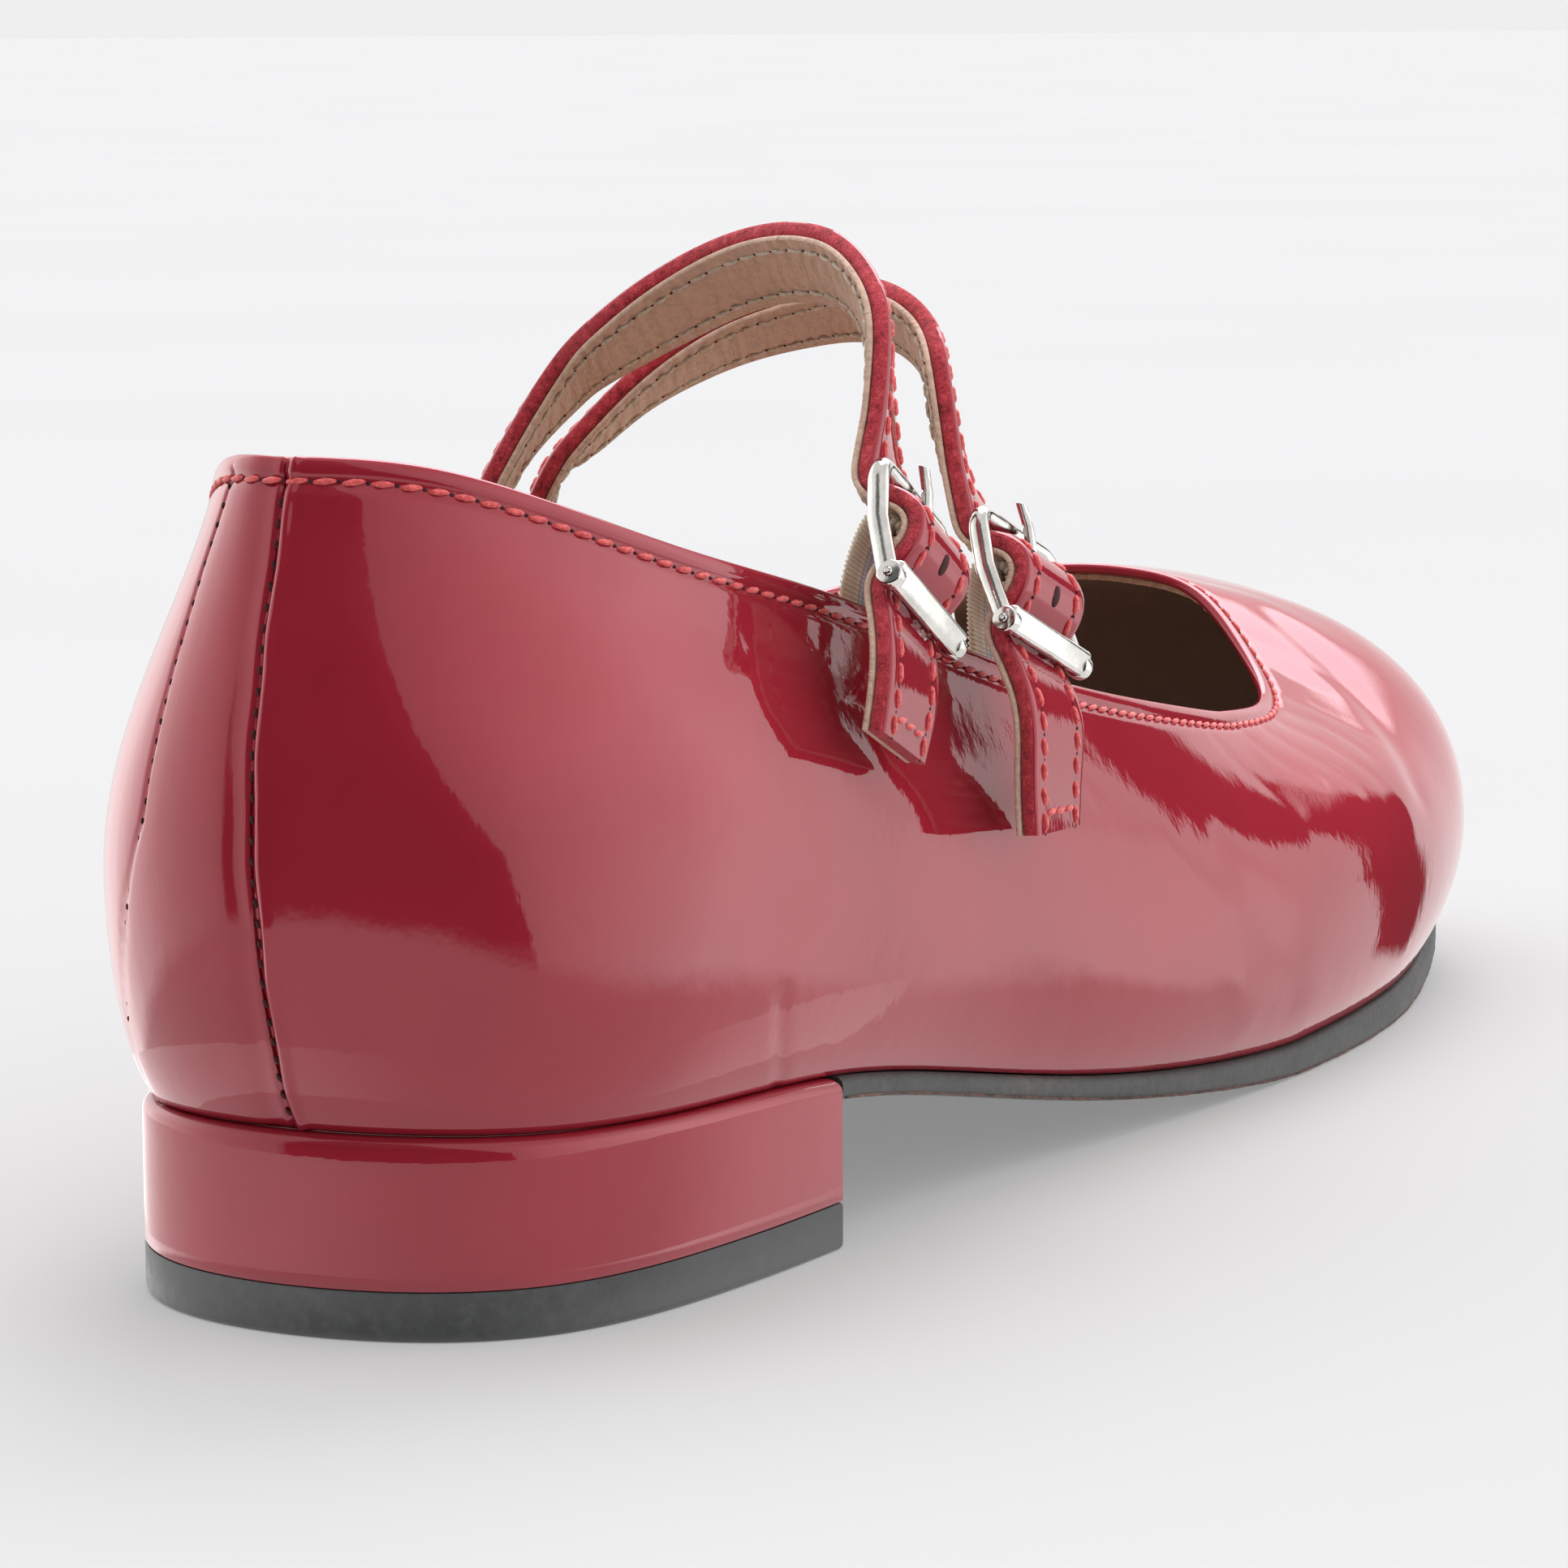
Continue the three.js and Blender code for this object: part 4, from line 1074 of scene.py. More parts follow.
def heel_top_piece():
    """The rubber top piece that the shoe stands on."""
    rings = [
        (1.0, lambda x: x * 0),
        (0.3, lambda x: x * 0 + 0.05),
        (0.05, lambda x: x * 0 + 0.35),
        (0.0, lambda x: x * 0 + 0.8),
        (0.0, lambda x: x * 0 + TOP_PIECE_HEIGHT - 0.3),
        (0.12, lambda x: x * 0 + TOP_PIECE_HEIGHT - 0.05),
        (0.6, lambda x: x * 0 + TOP_PIECE_HEIGHT),
    ]
    piece = heel_stack("heel_top", rings)
    return dress(piece, TOP_RUBBER, "rubber", "heel_top_piece")


# Bands: straps and elastics
def width_direction(turn, tip):
    """Direction of a width, turned inward and tipped down from the toe direction, in degrees."""
    turn, tip = np.radians(turn), np.radians(tip)
    return joined(np.cos(turn) * np.cos(tip), np.sin(turn) * np.cos(tip), -np.sin(tip))


class BuckleFrame:
    """Directions of a buckle: across along its bars, up along its rails, and out of its face."""

    def __init__(self, fastening):
        self.middle = spot(*fastening["middle"])
        self.across = width_direction(fastening["turn"], fastening["tip"])
        lean = math.radians(fastening["lean"])
        leaning = np.array([0, math.sin(lean), math.cos(lean)])
        self.up = unit(leaning - self.across * (leaning @ self.across))
        self.out = np.cross(self.across, self.up)

    def at(self, across, up, out):
        return self.middle + self.across * across + self.up * up + self.out * out

    def matrix(self):
        """Places a thing made at the origin, with across along X and up along Y."""
        rows = Matrix([list(self.across), list(self.up), list(self.out)]).transposed().to_4x4()
        return Matrix.Translation(Vector((self.middle - ORIGIN) * MM)) @ rows


def wound_path(rods, steps):
    """The path of a band past rods, as rows of up and out. Each rod is its up, its out and how far
    from its axis the band passes, positive outside it and negative inside it."""
    spans = []
    for (up, out, reach), (next_up, next_out, next_reach) in zip(rods[:-1], rods[1:]):
        length = math.hypot(next_up - up, next_out - out)
        spans.append(math.atan2(up - next_up, next_out - out) + math.asin((reach - next_reach) / length))
    path = []
    for i, (up, out, reach) in enumerate(rods):
        start, end = spans[max(i - 1, 0)], spans[min(i, len(spans) - 1)]
        for angle in ([start] if reach == 0 else np.linspace(start, end, steps + 1)):
            path.append((up + reach * math.cos(angle), out + reach * math.sin(angle)))
    return path


def smooth_stations(edges, widths, count):
    """Stations smoothly through chosen ones."""
    rows = {str(i): np.concatenate([edges, widths], axis=1)[:, i] for i in range(6)}
    values = smooth_values(rows, np.linspace(0, len(edges) - 1, count), False)
    return (np.stack([values[str(i)] for i in range(3)], 1),
            unit(np.stack([values[str(i)] for i in range(3, 6)], 1)))


def faces_out(edges, widths):
    """Directions out of a band's outer face."""
    return unit(np.cross(widths, -np.gradient(edges, axis=0)))


def evenly(edges, widths, spacing, rounds):
    """Stations at an even spacing along the band, with its corners eased, the two ends held."""
    steps = np.linalg.norm(np.diff(edges, axis=0), axis=1)
    length = np.concatenate([[0], np.cumsum(steps)])
    wanted = np.linspace(0, length[-1], int(length[-1] / spacing) + 1)
    both = np.concatenate([edges, widths], axis=1)
    both = np.stack([np.interp(wanted, length, both[:, i]) for i in range(6)], 1)
    for _ in range(rounds):
        both[1:-1] = (both[:-2] + 2 * both[1:-1] + both[2:]) / 4
    return both[:, :3], unit(both[:, 3:])


def root_stations(places, shares, thickness):
    """Stations of the start of a band on the inside of the wall."""
    distance = -(WALL + 2 * MEET_GAP + thickness)
    edges = np.array([wall_share(places[0], share, distance) for share in shares])
    ends = np.array([wall_share(places[1], share, distance) for share in shares])
    return edges, unit(ends - edges)


def strap_stations(arch, fastening, buckle):
    """The strap's middle surface: from its root over the instep and through the buckle to its end."""
    edges, widths = root_stations(fastening["root"], (0.62, 0.84, 1), 0)
    entry_up = BUCKLE_REACH + 5
    half_width = -STRAP_WIDTH / 2
    over = spot(arch["along"], arch["side"], arch["up"])
    edges = np.concatenate([edges, over, [buckle.at(half_width, entry_up, fastening["enters_out"])]])
    widths = np.concatenate([
        widths,
        width_direction(arch["turn"], arch["tip"]),
        [width_direction(fastening["enters_turn"], fastening["tip"])],
    ])
    edges, widths = smooth_stations(edges, widths, 160)
    edges = edges - faces_out(edges, widths) * STRAP_THICKNESS / 2
    half = STRAP_THICKNESS / 2 + MEET_GAP
    elastic_reach = MIDDLE_BAR_RADIUS + LOOP_GAP + ELASTIC_THICKNESS
    path = wound_path([
        (entry_up, fastening["enters_out"] - STRAP_THICKNESS / 2, 0),
        (BUCKLE_REACH, 0, -(BAR_RADIUS + half)),
        (0, -MIDDLE_BAR_DROP, elastic_reach + half),
        (-FLAT_BAR_REACH, 0, -(0.6 + half)),
        (-FLAT_BAR_REACH - 5, -STRAP_THICKNESS / 2 - 2, 0),
    ], 10)[1:-1]
    wound = np.array([buckle.at(half_width, up, out) for up, out in path])
    across = np.tile(buckle.across, (len(wound), 1))
    tail = fastening["tail"]
    tail_edges = np.concatenate([wound[-1:], spot(tail["along"], tail["side"], tail["up"])])
    tail_widths = np.concatenate([across[-1:], width_direction(tail["turn"], tail["tip"])])
    tail_edges, tail_widths = smooth_stations(tail_edges, tail_widths, 40)
    edges = np.concatenate([edges[:-1], wound, tail_edges[1:]])
    widths = np.concatenate([widths[:-1], across, tail_widths[1:]])
    return evenly(edges, widths, 0.42, 8)


def band_points(edges, widths, section):
    """Rings of a band: section rows are a distance across and a height above the middle surface."""
    outs = faces_out(edges, widths)
    across, height = np.array(section).T
    return edges[:, None] + widths[:, None] * across[None, :, None] + outs[:, None] * height[None, :, None]


def rounded_section(width, low, high, radius, count):
    """The outline of a flat layer with rounded edges, as rows of across and height."""
    section = []
    radius = min(radius, (high - low) / 2)
    for corner_across, corner_height, start in (
        (width - radius, high - radius, 90), (width - radius, low + radius, 0),
        (radius, low + radius, -90), (radius, high - radius, -180),
    ):
        for step in range(4):
            angle = math.radians(start - step * 30)
            section.append((corner_across + radius * math.cos(angle), corner_height + radius * math.sin(angle)))
        nearest = section[-1]
        if start in (0, -180):
            far = (radius, low) if start == 0 else (width - radius, high)
            for step in range(1, count):
                share = step / count
                section.append((nearest[0] + (far[0] - nearest[0]) * share, nearest[1] + (far[1] - nearest[1]) * share))
    return section


def strap(where):
    """A strap: the patent layer, its painted edge and the tan lining."""
    fastening = FASTENINGS[where]
    buckle = BuckleFrame(fastening)
    edges, widths = strap_stations(ARCHES[where], fastening, buckle)
    half = STRAP_THICKNESS / 2
    section = rounded_section(STRAP_WIDTH, STRAP_LINING - half + 0.02, half, 0.6, 26)
    red = sheet_through("strap_%s_patent" % where, band_points(edges, widths, section), False, True)
    fill_ends(red)
    face_outwards(red)
    smooth(red, 60)
    paint_edge(red, edges, widths)
    dress(red, None, "patent", "strap_" + where)
    section = rounded_section(STRAP_WIDTH, -half, STRAP_LINING - half, 0.25, 26)
    tan = sheet_through("strap_%s_lining" % where, wrinkled(band_points(edges, widths, section), section), False,
                        True)
    measure_along(tan, 0.42 * (len(edges) - 1))
    fill_ends(tan)
    face_outwards(tan)
    smooth(tan, 60)
    dress(tan, STRAP_TAN, "lining")
    return edges, widths


def wrinkled(points, section):
    """Crosswise wrinkles in the underside of the lining, uneven in pitch and depth."""
    count = len(points)
    along = np.arange(count) * 0.42
    across, height = np.array(section).T
    bottom = height < min(height) + 0.02
    phase = along[:, None] * 2 * math.pi / 1.9 + 1.3 * np.sin(along * 0.31)[:, None]
    phase = phase + 0.9 * np.sin(across * 0.8 + along[:, None] * 0.23)
    depth = 0.26 + 0.14 * np.sin(along * 0.17 + 1)[:, None] * np.sin(across * 0.5)[None, :]
    inward = unit(points.mean(axis=1, keepdims=True) - points)
    outs = unit(np.cross(np.gradient(points[:, 0], axis=0), points[:, 1] - points[:, 8]))
    rise = np.where(bottom[None, :], depth * (0.5 + 0.5 * np.sin(phase)), 0)
    flip = np.sign(np.sum(inward[:, 20] * outs, axis=1))
    return points + (outs * flip[:, None])[:, None] * rise[..., None]


def paint_edge(piece, edges, widths):
    """Gives the cut edges of a strap their painted finish and its face the patent one."""
    piece.data.materials.clear()
    piece.data.materials.append(RED_PATENT)
    piece.data.materials.append(RED_EDGE)
    outs = faces_out(edges, widths)
    centres = edges + widths * STRAP_WIDTH / 2 - ORIGIN
    for polygon in piece.data.polygons:
        centre = np.array(polygon.center) / MM
        nearest = np.argmin(np.sum((centres - centre) ** 2, axis=1))
        facing = np.array(polygon.normal) @ outs[nearest]
        polygon.material_index = 0 if facing > 0.6 else 1


def elastic(where):
    """The ribbed elastic that holds the buckle, from inside the collar round the middle bar."""
    fastening = FASTENINGS[where]
    buckle = BuckleFrame(fastening)
    edges, widths = root_stations(fastening["elastic_root"], (0.62, 0.85, 1.04), ELASTIC_THICKNESS / 2)
    collar = edges[-1] - buckle.middle
    reach = MIDDLE_BAR_RADIUS + LOOP_GAP + ELASTIC_THICKNESS / 2
    path = wound_path([
        (collar @ buckle.up + 2, collar @ buckle.out, 0),
        (0, -MIDDLE_BAR_DROP, reach),
        (-2.2, -5, 0),
    ], 14)[1:-1]
    wrap = np.array([buckle.at(-ELASTIC_WIDTH / 2, up, out) for up, out in path])
    across = np.tile(buckle.across, (len(wrap), 1))
    before = wrap[0] + unit(wrap[0] - wrap[1]) * 2.5
    lead, lead_widths = smooth_stations(
        np.concatenate([edges, [before, wrap[0]]]), np.concatenate([widths, across[:2]]), 60)
    edges, widths = evenly(np.concatenate([lead, wrap[1:]]), np.concatenate([lead_widths, across[1:]]), 0.11, 6)
    section = rounded_section(ELASTIC_WIDTH, -ELASTIC_THICKNESS / 2, ELASTIC_THICKNESS / 2, 0.3, 24)
    points = band_points(edges, widths, section)
    rib = np.sin(np.arange(len(edges)) * 0.11 / RIB_PITCH * 2 * math.pi)
    outward = unit(points - points.mean(axis=1, keepdims=True))
    edge_share = np.abs(np.array(section)[:, 0] / ELASTIC_WIDTH * 2 - 1) ** 2
    swell = rib[:, None] * (0.05 + 0.16 * edge_share[None, :])
    points = points + outward * swell[..., None]
    piece = sheet_through("elastic_%s_band" % where, points, False, True)
    measure_along(piece, 0.11 * (len(edges) - 1))
    fill_ends(piece)
    face_outwards(piece)
    smooth(piece, 60)
    return dress(piece, ELASTIC, "elastic", "elastic_" + where)


# Buckles
def buckle_pattern():
    """A buckle at the origin: across along X, up along Y and out along Z, in millimetres."""
    rail_at = STRAP_WIDTH / 2 + 0.7 + 0.85
    parts = [frame_wire(rail_at)]
    parts.append(rod("middle_bar", MIDDLE_BAR_RADIUS, 2 * rail_at, (0, 0, -MIDDLE_BAR_DROP)))
    parts.append(flat_bar(rail_at))
    parts += knuckles(rail_at)
    return join(parts, "buckle")


def frame_wire(rail_at):
    """The rails and the top bar in one: a wire that turns round two corners and is flatter in the rails."""
    corner = 2.0
    half_turn = np.linspace(0, math.pi / 2, 9)
    turn_up = BUCKLE_REACH - corner
    path = [(-rail_at, -FLAT_BAR_REACH + 0.2), (-rail_at, -FLAT_BAR_REACH / 2), (-rail_at, 0), (-rail_at, turn_up / 2)]
    path += [(-rail_at + corner * (1 - math.cos(a)), turn_up + corner * math.sin(a)) for a in half_turn]
    path += [(-x, y) for x, y in path[::-1]]
    path = np.array(path)
    along = unit(np.gradient(path, axis=0))
    angles = np.linspace(0, 2 * math.pi, 20, endpoint=False)
    rail_share = np.clip((BUCKLE_REACH - path[:, 1]) / corner, 0, 1)[:, None]
    in_plane = (BAR_RADIUS * (1 - rail_share) + 0.75 * rail_share) * np.cos(angles)
    out_of_plane = (BAR_RADIUS * (1 - rail_share) + 1.05 * rail_share) * np.sin(angles)
    bow = -0.5 * np.clip(1 - np.abs(path[:, 1:2] / FLAT_BAR_REACH), 0, 1) * rail_share
    rings = np.stack([
        path[:, 0:1] - along[:, 1:2] * in_plane,
        path[:, 1:2] + along[:, 0:1] * in_plane,
        out_of_plane + bow,
    ], axis=-1)
    piece = sheet_through("frame_wire", rings + ORIGIN, False, True)
    fill_ends(piece)
    face_outwards(piece)
    smooth(piece, 60)
    return piece


def rod(name, radius, length, centre):
    piece = begin(name, "cylinder", radius=radius * MM, depth=length * MM, vertices=24,
                  location=[c * MM for c in centre], rotation=(0, math.pi / 2, 0))
    bpy.ops.object.transform_apply(location=True, rotation=True, scale=True)
    smooth(piece, 40)
    return piece


def flat_bar(rail_at):
    """The flat bottom bar, tilted so that its face looks out and down."""
    piece = begin("flat_bar", "cube", size=1, scale=((2 * rail_at + 0.9) * MM, 2.7 * MM, 1.2 * MM))
    bpy.ops.object.transform_apply(location=False, rotation=False, scale=True)
    bpy.ops.object.mode_set(mode="EDIT")
    bpy.ops.mesh.select_all(action="SELECT")
    bpy.ops.mesh.bevel(offset=0.5 * MM, segments=4, affect="EDGES")
    bpy.ops.object.mode_set(mode="OBJECT")
    piece.data.transform(Matrix.Rotation(math.atan(0.6), 4, "X"))
    piece.data.transform(Matrix.Translation((0, -FLAT_BAR_REACH * MM, FLAT_BAR_OUT * MM)))
    smooth(piece, 50)
    return piece


def knuckles(rail_at):
    """The rounded lower ends of the rails, each with a small rivet."""
    parts = []
    for side in (-1, 1):
        for radius, depth, shift in ((1.3, 1.5, 0), (0.45, 0.4, 0.85)):
            piece = begin("knuckle", "cylinder", radius=radius * MM, depth=depth * MM, vertices=24,
                          location=(side * (rail_at + shift) * MM, -FLAT_BAR_REACH * MM, 0.3 * MM),
                          rotation=(0, math.pi / 2, 0))
            bpy.ops.object.transform_apply(location=True, rotation=True, scale=True)
            bpy.ops.object.mode_set(mode="EDIT")
            bpy.ops.mesh.select_all(action="SELECT")
            bpy.ops.mesh.bevel(offset=0.25 * MM, segments=3, affect="EDGES")
            bpy.ops.object.mode_set(mode="OBJECT")
            smooth(piece, 50)
            parts.append(piece)
    return parts


def prong_pattern():
    """The prong at the origin: an eye round the middle bar and a pin that rests on the top bar."""
    over = BAR_RADIUS + MEET_GAP + PRONG_RADIUS
    reach = MIDDLE_BAR_RADIUS + LOOP_GAP + PRONG_RADIUS
    eye = begin("prong_eye", "torus", major_radius=reach * MM, minor_radius=PRONG_RADIUS * MM,
                major_segments=28, minor_segments=14, rotation=(0, math.pi / 2, 0),
                location=(0, 0, -MIDDLE_BAR_DROP * MM))
    bpy.ops.object.transform_apply(location=True, rotation=True, scale=True)
    smooth(eye)
    line = [
        (0, reach * 0.9, -MIDDLE_BAR_DROP + 0.6),
        (0, BUCKLE_REACH * 0.35, over * 0.45),
        (0, BUCKLE_REACH * 0.6, over * 0.85),
        (0, BUCKLE_REACH, over),
        (0, BUCKLE_REACH + 2.5, over - 0.1),
    ]
    pin = begin("prong_pin", "circle", vertices=14, radius=PRONG_RADIUS * MM, fill_type="NGON",
                location=[c * MM for c in line[0]], rotation=(math.radians(-60), 0, 0))
    bpy.ops.object.transform_apply(location=True, rotation=True, scale=True)
    bpy.ops.object.mode_set(mode="EDIT")
    bpy.ops.mesh.select_all(action="SELECT")
    for start, end in zip(line[:-1], line[1:]):
        step = [(b - a) * MM for a, b in zip(start, end)]
        bpy.ops.mesh.extrude_region_move(TRANSFORM_OT_translate={"value": step})
    bpy.ops.object.mode_set(mode="OBJECT")
    face_outwards(pin)
    smooth(pin, 60)
    return join([eye, pin], "prong")


def placed_copy(pattern, name, matrix):
    """A copy with its own mesh, at its place."""
    copy = pattern.copy()
    copy.data = pattern.data.copy()
    copy.name = name
    copy.data.name = name
    bpy.context.collection.objects.link(copy)
    copy.data.transform(matrix)
    return copy


def buckles():
    frames = {where: BuckleFrame(fastening) for where, fastening in FASTENINGS.items()}
    for pattern, stem in ((buckle_pattern(), "buckle_"), (prong_pattern(), "prong_")):
        for where, buckle in frames.items():
            piece = placed_copy(pattern, stem + where + "_metal", buckle.matrix())
            dress(piece, NICKEL, "nickel", stem + where)
        bpy.data.objects.remove(pattern)


# Stitches
def stitch_pattern(length, thickness):
    """One stitch of twisted thread at the origin, along X, with Z out of the leather."""
    piece = begin("stitch", "uv_sphere", segments=8, ring_count=8, radius=1, rotation=(0, math.pi / 2, 0))
    bpy.ops.object.transform_apply(location=True, rotation=True, scale=True)
    points = np.empty(len(piece.data.vertices) * 3)
    piece.data.vertices.foreach_get("co", points)
    points = points.reshape(-1, 3)
    x = points[:, 0].copy()
    girth = np.sqrt(np.maximum(1 - np.abs(x) ** 4, 0.02))
    angle = np.arctan2(points[:, 2], points[:, 1])
    radius = girth * (1 + 0.2 * np.cos(2 * (angle - x * 2.4)))
    points[:, 0] = x * length / 2
    points[:, 1] = np.cos(angle) * radius * thickness / 2
    points[:, 2] = np.sin(angle) * radius * thickness / 2 - 0.35 * thickness * x ** 2
    piece.data.vertices.foreach_set("co", (points * MM).ravel())
    smooth(piece)
    return piece


def resampled(points, others, pitch):
    """Places at an even pitch along a line, with other rows carried along."""
    steps = np.linalg.norm(np.diff(points, axis=0), axis=1)
    length = np.concatenate([[0], np.cumsum(steps)])
    count = max(int(round(length[-1] / pitch)), 1)
    wanted = (np.arange(count) + 0.5) * length[-1] / count
    pick = [np.stack([np.interp(wanted, length, rows[:, i]) for i in range(3)], 1) for rows in (points, *others)]
    ahead = np.stack([np.interp(wanted + 0.3, length, points[:, i]) for i in range(3)], 1)
    behind = np.stack([np.interp(wanted - 0.3, length, points[:, i]) for i in range(3)], 1)
    return pick, unit(ahead - behind), length[-1] / count


def stitch_row(name, line, outs, pitch, thickness, material, slant=8.0, lift=0.12):
    """Stitches along a line on the leather, and dark blobs of painted shade for the needle holes between them."""
    (centres, normals), along, pitch = resampled(line, [outs], pitch)
    normals = unit(normals - along * np.sum(normals * along, axis=1, keepdims=True))
    stitch = stitch_pattern(pitch * 0.84, thickness)
    hole = begin("hole", "uv_sphere", segments=8, ring_count=4, radius=0.21 * MM)
    hole.scale = (1.0, 0.8, 0.4)
    bpy.ops.object.transform_apply(location=True, rotation=True, scale=True)
    smooth(hole)
    turn = Matrix.Rotation(math.radians(slant), 4, "Z")
    stitches, holes = [], []
    for centre, normal, direction in zip(centres, normals, along):
        axes = Matrix([list(direction), list(np.cross(normal, direction)), list(normal)]).transposed().to_4x4()
        wobble = Matrix.Rotation(math.radians(random.uniform(-4, 4)), 4, "Z")
        place = Matrix.Translation(Vector((centre + normal * lift - ORIGIN) * MM)) @ axes @ turn @ wobble
        stitches.append(placed_copy(stitch, "stitch", place))
        # Painted shade: a small dark blob in the gap after each stitch stands for the shade in its needle hole
        gap = centre + direction * pitch / 2 + normal * 0.02
        holes.append(placed_copy(hole, "hole", Matrix.Translation(Vector((gap - ORIGIN) * MM)) @ axes))
    bpy.data.objects.remove(stitch)
    bpy.data.objects.remove(hole)
    dress(join(stitches, name), material, "patent" if material is CORAL_THREAD else "lining")
    dress(join(holes, name + "_holes"), HOLE_SHADE, "patent")


def collar_stitches():
    places = np.linspace(0, SECTION_COUNT, 24 * 16 + 1)
    points, outs, _ = wall_frame(places, COLLAR_STITCH_DROP)
    stitch_row("collar_stitches", points - outs * 0.22, outs, 2.5, 0.54, CORAL_THREAD)


def needle_prick_shades(name, line, outs, pitch, size):
    """Dark blobs of painted shade for the needle marks in the valley of a seam."""
    (centres, normals), along, pitch = resampled(line, [outs], pitch)
    hole = begin("hole", "uv_sphere", segments=8, ring_count=4, radius=size * MM)
    hole.scale = (1.25, 0.7, 0.6)
    bpy.ops.object.transform_apply(location=True, rotation=True, scale=True)
    smooth(hole)
    marks = []
    for centre, normal, direction in zip(centres, normals, along):
        axes = Matrix([list(direction), list(np.cross(normal, direction)), list(normal)]).transposed().to_4x4()
        turn = Matrix.Rotation(math.radians(random.uniform(10, 30)), 4, "Z")
        place = Matrix.Translation(Vector((centre - ORIGIN) * MM)) @ axes @ turn
        marks.append(placed_copy(hole, "mark", place))
    bpy.data.objects.remove(hole)
    dress(join(marks, name), HOLE_SHADE, "patent")


def seam_prick_shades():
    # Painted shade in the needle marks of the back seam and of the seam on the inner side
    drops = np.linspace(3.2, 60, 60)
    back, outs, _ = zip(*(wall_frame(np.array([0.0]), drop) for drop in drops))
    back, outs = np.array(back)[:, 0], np.array(outs)[:, 0]
    back[:, 1] += back_seam_place(back[:, 2])
    needle_prick_shades("back_seam_prick_shades", back - outs * 0.26, outs, 1.8, 0.36)
    inner = resampled(on_wall(SIDE_SEAM), [on_wall(SIDE_SEAM)], 1.0)[0][0]
    _, outs, _ = wall_frame(np.array([23.45]), 20.0)
    needle_prick_shades("side_seam_prick_shades", inner - outs * 0.2, np.repeat(outs, len(inner), axis=0), 1.8, 0.26)


def strap_stitches(where, edges, widths):
    outs = faces_out(edges, widths)
    half = STRAP_THICKNESS / 2
    for row, across in (("a", STRAP_STITCH_INSET), ("b", STRAP_WIDTH - STRAP_STITCH_INSET)):
        line = edges + widths * across
        stitch_row("strap_%s_stitches_%s" % (where, row), line + outs * (half - 0.08), outs, 2.4, 0.6,
                   CORAL_THREAD, slant=10)
        stitch_row("strap_%s_lining_stitches_%s" % (where, row), line - outs * (half - 0.04), -outs, 2.4, 0.42,
                   BEIGE_THREAD, slant=-6)
    last = -int(STRAP_STITCH_INSET / 0.42) - 1
    share = np.linspace(STRAP_STITCH_INSET + 0.6, STRAP_WIDTH - STRAP_STITCH_INSET - 0.6, 12)[:, None]
    line = edges[last] + widths[last] * share + outs[last] * (half - 0.08)
    stitch_row("strap_%s_end_stitches" % where, line, np.repeat(outs[last:last + 1], 12, axis=0), 2.4, 0.6,
               CORAL_THREAD, slant=10)
    punched_hole_shade(where, edges, widths, outs)


def punched_hole_shade(where, edges, widths, outs):
    """A dark flattened blob on the strap, below the middle bar: painted shade that stands for the spare hole."""
    buckle = BuckleFrame(FASTENINGS[where])
    wanted = buckle.at(0, -2.2, 3)
    station = np.argmin(np.linalg.norm(edges + widths * STRAP_WIDTH / 2 - wanted, axis=1))
    centre = edges[station] + widths[station] * STRAP_WIDTH / 2 + outs[station] * (STRAP_THICKNESS / 2 - 0.1)
    along = np.cross(outs[station], widths[station])
    hole = begin("strap_%s_hole" % where, "uv_sphere", segments=20, ring_count=10, radius=1.0 * MM)
    hole.scale = (0.75, 1.1, 0.25)
    bpy.ops.object.transform_apply(location=True, rotation=True, scale=True)
    smooth(hole)
    axes = Matrix([list(widths[station]), list(along), list(outs[station])]).transposed().to_4x4()
    hole.data.transform(Matrix.Translation(Vector((centre - ORIGIN) * MM)) @ axes)
    dress(hole, HOLE_SHADE, "patent")


# Studio
def camera():
    """The camera at the photograph's angle: behind the heel, on the outer side, a little above."""
    bpy.ops.object.camera_add(location=(-0.4299, -0.2409, 0.1145))
    view = bpy.context.object
    view.data.sensor_width = 36
    view.data.lens = 36 * 6760 / 1932
    view.data.clip_start = 0.01
    view.data.clip_end = 30
    target = Vector((0.0751, 0.0, 0.0359))
    direction = target - view.location
    turn = direction.to_track_quat("-Z", "Y").to_matrix() @ Matrix.Rotation(math.radians(ROLL), 3, "Z")
    view.rotation_euler = turn.to_euler()
    bpy.context.scene.camera = view


ROLL = -0.3


# Brightness of the panels round the shoe: a row for each azimuth in degrees, counted from the toe
# towards the inner side
PANELS = [
    (-180, 0.9), (-150, 0.9), (-140, 0.95), (-120, 1.25), (-100, 1.75), (-80, 2.2), (-62, 2.6),
    (-50, 2.9), (-42, 2.5), (-36, 2.1), (-30, 1.8), (-27, 1.4), (-12, 1.3), (8, 1.25), (16, 1.0),
    (35, 0.9), (50, 1.9), (62, 2.6), (90, 2.5), (110, 1.8), (140, 1.2), (180, 1.1),
]
CEILING = 1.1
FLOOR_GLOW = 1.25
GAP_LOW = 0.05
GAP_HIGH = 0.18
GAP_FILL = 0.4
KEY_LOW = 3.6
KEY_HIGH = 8.5
KEY_FILL = 2.0
BACKGROUND = 0.863
FLOOR_TONE = 0.35
FLOOR_LIFT = 0.235
KEY_TINT = (0.98, 0.98, 1.06, 1)
CARD_DISTANCE = 14.0
CARD_HEIGHT = 14.5
CARD_GLOW = 1.9


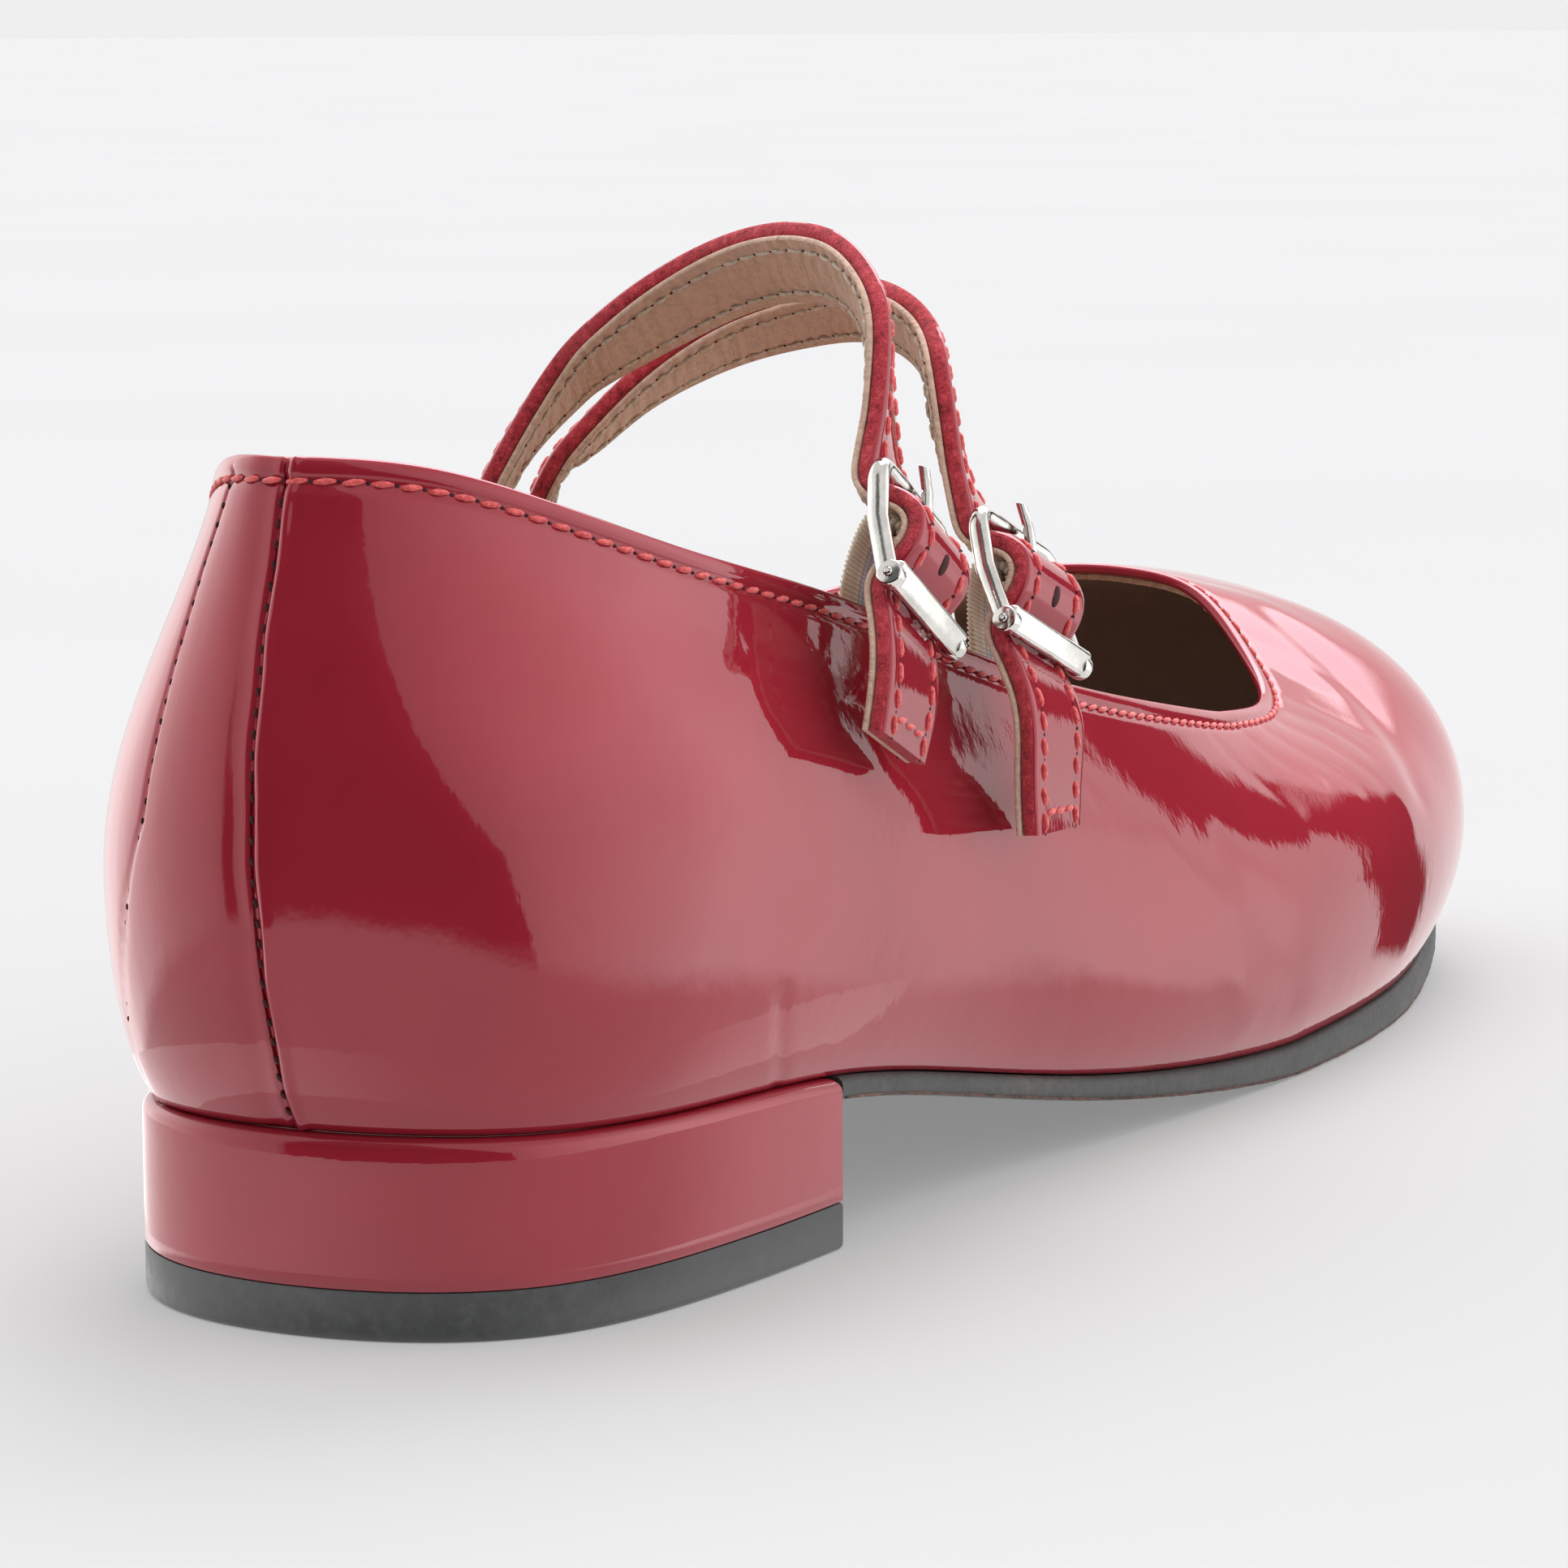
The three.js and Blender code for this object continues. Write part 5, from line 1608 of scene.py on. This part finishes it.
class WorldSketch:
    """The world's nodes, with short ways to join them."""

    def __init__(self):
        world = bpy.data.worlds.new("studio")
        bpy.context.scene.world = world
        world.use_nodes = True
        self.nodes, self.links = world.node_tree.nodes, world.node_tree.links

    def math(self, operation, *values):
        node = self.nodes.new("ShaderNodeMath")
        node.operation = operation
        for socket, value in zip(node.inputs, values):
            if isinstance(value, (int, float)):
                socket.default_value = value
            else:
                self.links.new(value, socket)
        return node.outputs["Value"]

    def step(self, value, low, high):
        """0 below low, 1 above high, in degrees."""
        node = self.nodes.new("ShaderNodeMapRange")
        node.interpolation_type = "SMOOTHSTEP"
        node.inputs["From Min"].default_value = low
        node.inputs["From Max"].default_value = high
        self.links.new(value, node.inputs["Value"])
        return node.outputs["Result"]

    def band(self, value, rise_from, rise_to, fall_from, fall_to):
        """1 between two soft sides, 0 outside them, in degrees."""
        rise = self.step(value, rise_from, rise_to)
        return self.math("MULTIPLY", rise, self.math("SUBTRACT", 1, self.step(value, fall_from, fall_to)))

    def blend(self, factor, first, second):
        """first where the factor is 0, second where it is 1."""
        change = self.math("SUBTRACT", second, first)
        return self.math("MULTIPLY_ADD", change, factor, first)


def surround():
    """A pale room: bright panels at both sides, a dimmer gap behind the heel, and a pale ground."""
    world = WorldSketch()
    direction = world.nodes.new("ShaderNodeTexCoord").outputs["Generated"]
    split = world.nodes.new("ShaderNodeSeparateXYZ")
    world.links.new(direction, split.inputs[0])
    azimuth = world.math("ARCTAN2", split.outputs["Y"], split.outputs["X"])
    azimuth = world.math("MULTIPLY", azimuth, 180 / math.pi)
    height = world.math("MULTIPLY", world.math("ARCSINE", split.outputs["Z"]), 180 / math.pi)
    ramp = world.nodes.new("ShaderNodeValToRGB")
    elements = ramp.color_ramp.elements
    while len(elements) < len(PANELS):
        elements.new(0.5)
    for element, (degrees, brightness) in zip(elements, PANELS):
        element.position = (degrees + 180) / 360
        element.color = (brightness / 4, brightness / 4, brightness / 4, 1)
    world.links.new(world.math("MULTIPLY_ADD", azimuth, 1 / 360, 0.5), ramp.inputs["Fac"])
    panels = world.math("MULTIPLY", ramp.outputs["Color"], 4)
    lit = world.blend(world.step(height, 18, 50), panels, CEILING)
    slot_place = world.math("MULTIPLY_ADD", world.math("MINIMUM", world.math("ADD", height, 4), 0), 0.8, azimuth)
    slot_gap = world.band(slot_place, -21.2, -19.7, -11, -8)
    slot_gap = world.math("MULTIPLY", slot_gap, world.band(height, -17, -15, 15, 18))
    lit = world.blend(slot_gap, lit, GAP_LOW)
    key = world.math("MULTIPLY", world.band(azimuth, -18, -14, 30, 44), world.band(height, 17, 23, 66, 78))
    path = world.nodes.new("ShaderNodeLightPath")
    key_light = world.blend(world.step(height, 20, 50), KEY_LOW, KEY_HIGH)
    key_light = world.blend(path.outputs["Is Diffuse Ray"], key_light, KEY_FILL)
    lit = world.blend(key, lit, key_light)
    slanted = world.math("MULTIPLY_ADD", height, 0.8, azimuth)
    gap = world.math("MAXIMUM", world.math("SUBTRACT", 1, world.step(slanted, -123.5, -121)),
                     world.step(azimuth, 144, 150))
    gap_tone = world.blend(world.step(height, 27, 31), GAP_LOW, GAP_HIGH)
    gap_tone = world.blend(path.outputs["Is Diffuse Ray"], gap_tone, GAP_FILL)
    gap = world.math("MULTIPLY", gap, world.math("SUBTRACT", 1, world.step(height, 55, 70)))
    lit = world.blend(gap, lit, gap_tone)
    ground = world.step(height, -23, -19)
    lit = world.blend(ground, FLOOR_GLOW, lit)
    from_above = world.math("MULTIPLY_ADD", world.step(height, 30, 70), 1.35, 0.7)
    lit = world.blend(path.outputs["Is Diffuse Ray"], lit, world.math("MULTIPLY", lit, from_above))
    strength = world.blend(path.outputs["Is Camera Ray"], lit, BACKGROUND)
    background = world.nodes["Background"]
    tint = world.nodes.new("ShaderNodeMix")
    tint.data_type = "RGBA"
    tint.inputs["A"].default_value = (1, 1, 1, 1)
    tint.inputs["B"].default_value = KEY_TINT
    tinted = world.math("MULTIPLY", key, world.math("SUBTRACT", 1, path.outputs["Is Diffuse Ray"]))
    world.links.new(tinted, tint.inputs["Factor"])
    world.links.new(tint.outputs["Result"], background.inputs["Color"])
    world.links.new(strength, background.inputs["Strength"])


def heel_card():
    """A low pale card round the heel, which only the gloss of the heel block sees."""
    places = np.linspace(-5.0, 4.2, 60)
    low = outline_point(places, -CARD_DISTANCE)
    high = low + [0, 0, CARD_HEIGHT]
    card = sheet_through("heel_card", np.stack([low, high]))
    finish = Finish("card_paper", Emission_Strength=CARD_GLOW)
    finish.shader.inputs["Base Color"].default_value = (0, 0, 0, 1)
    place = finish.nodes.new("ShaderNodeSeparateXYZ")
    finish.links.new(finish.coordinates.outputs["UV"], place.inputs["Vector"])
    finish.put("Emission Color", finish.colours(place.outputs["X"], [
        (0.5, (0.95, 0.95, 0.95)),
        (0.62, (0.64, 0.64, 0.64)),
        (0.76, (0.64, 0.64, 0.64)),
        (0.88, (0.86, 0.86, 0.86)),
    ]))
    card.data.materials.append(finish.material)
    for ray in ("camera", "diffuse", "shadow", "transmission", "volume_scatter"):
        setattr(card, "visible_" + ray, False)


def studio():
    """A plain pale floor in a pale room with soft light."""
    floor = begin("floor", "plane", size=60)
    finish = Finish("floor_paper", Roughness=0.9, Specular_IOR_Level=0.0)
    tone = finish.noise(3, 2)
    low, high = FLOOR_TONE - 0.003, FLOOR_TONE + 0.003
    finish.put("Base Color", finish.colours(tone, [(0.3, (low, low, low)), (0.7, (high, high, high))]))
    finish.put("Emission Color", finish.colours(tone, [(0.3, (0.99, 0.99, 0.99)), (0.7, (1, 1, 1))]))
    finish.shader.inputs["Emission Strength"].default_value = FLOOR_LIFT
    floor.data.materials.append(finish.material)
    floor.visible_glossy = False
    heel_card()
    surround()
    bpy.context.scene.view_settings.view_transform = "Standard"


upper_shell()
upper_lining()
outsole()
insole()
heel_block()
heel_top_piece()
collar_stitches()
seam_prick_shades()
for side in ("rear", "front"):
    strap_stitches(side, *strap(side))
    elastic(side)
buckles()
camera()
studio()
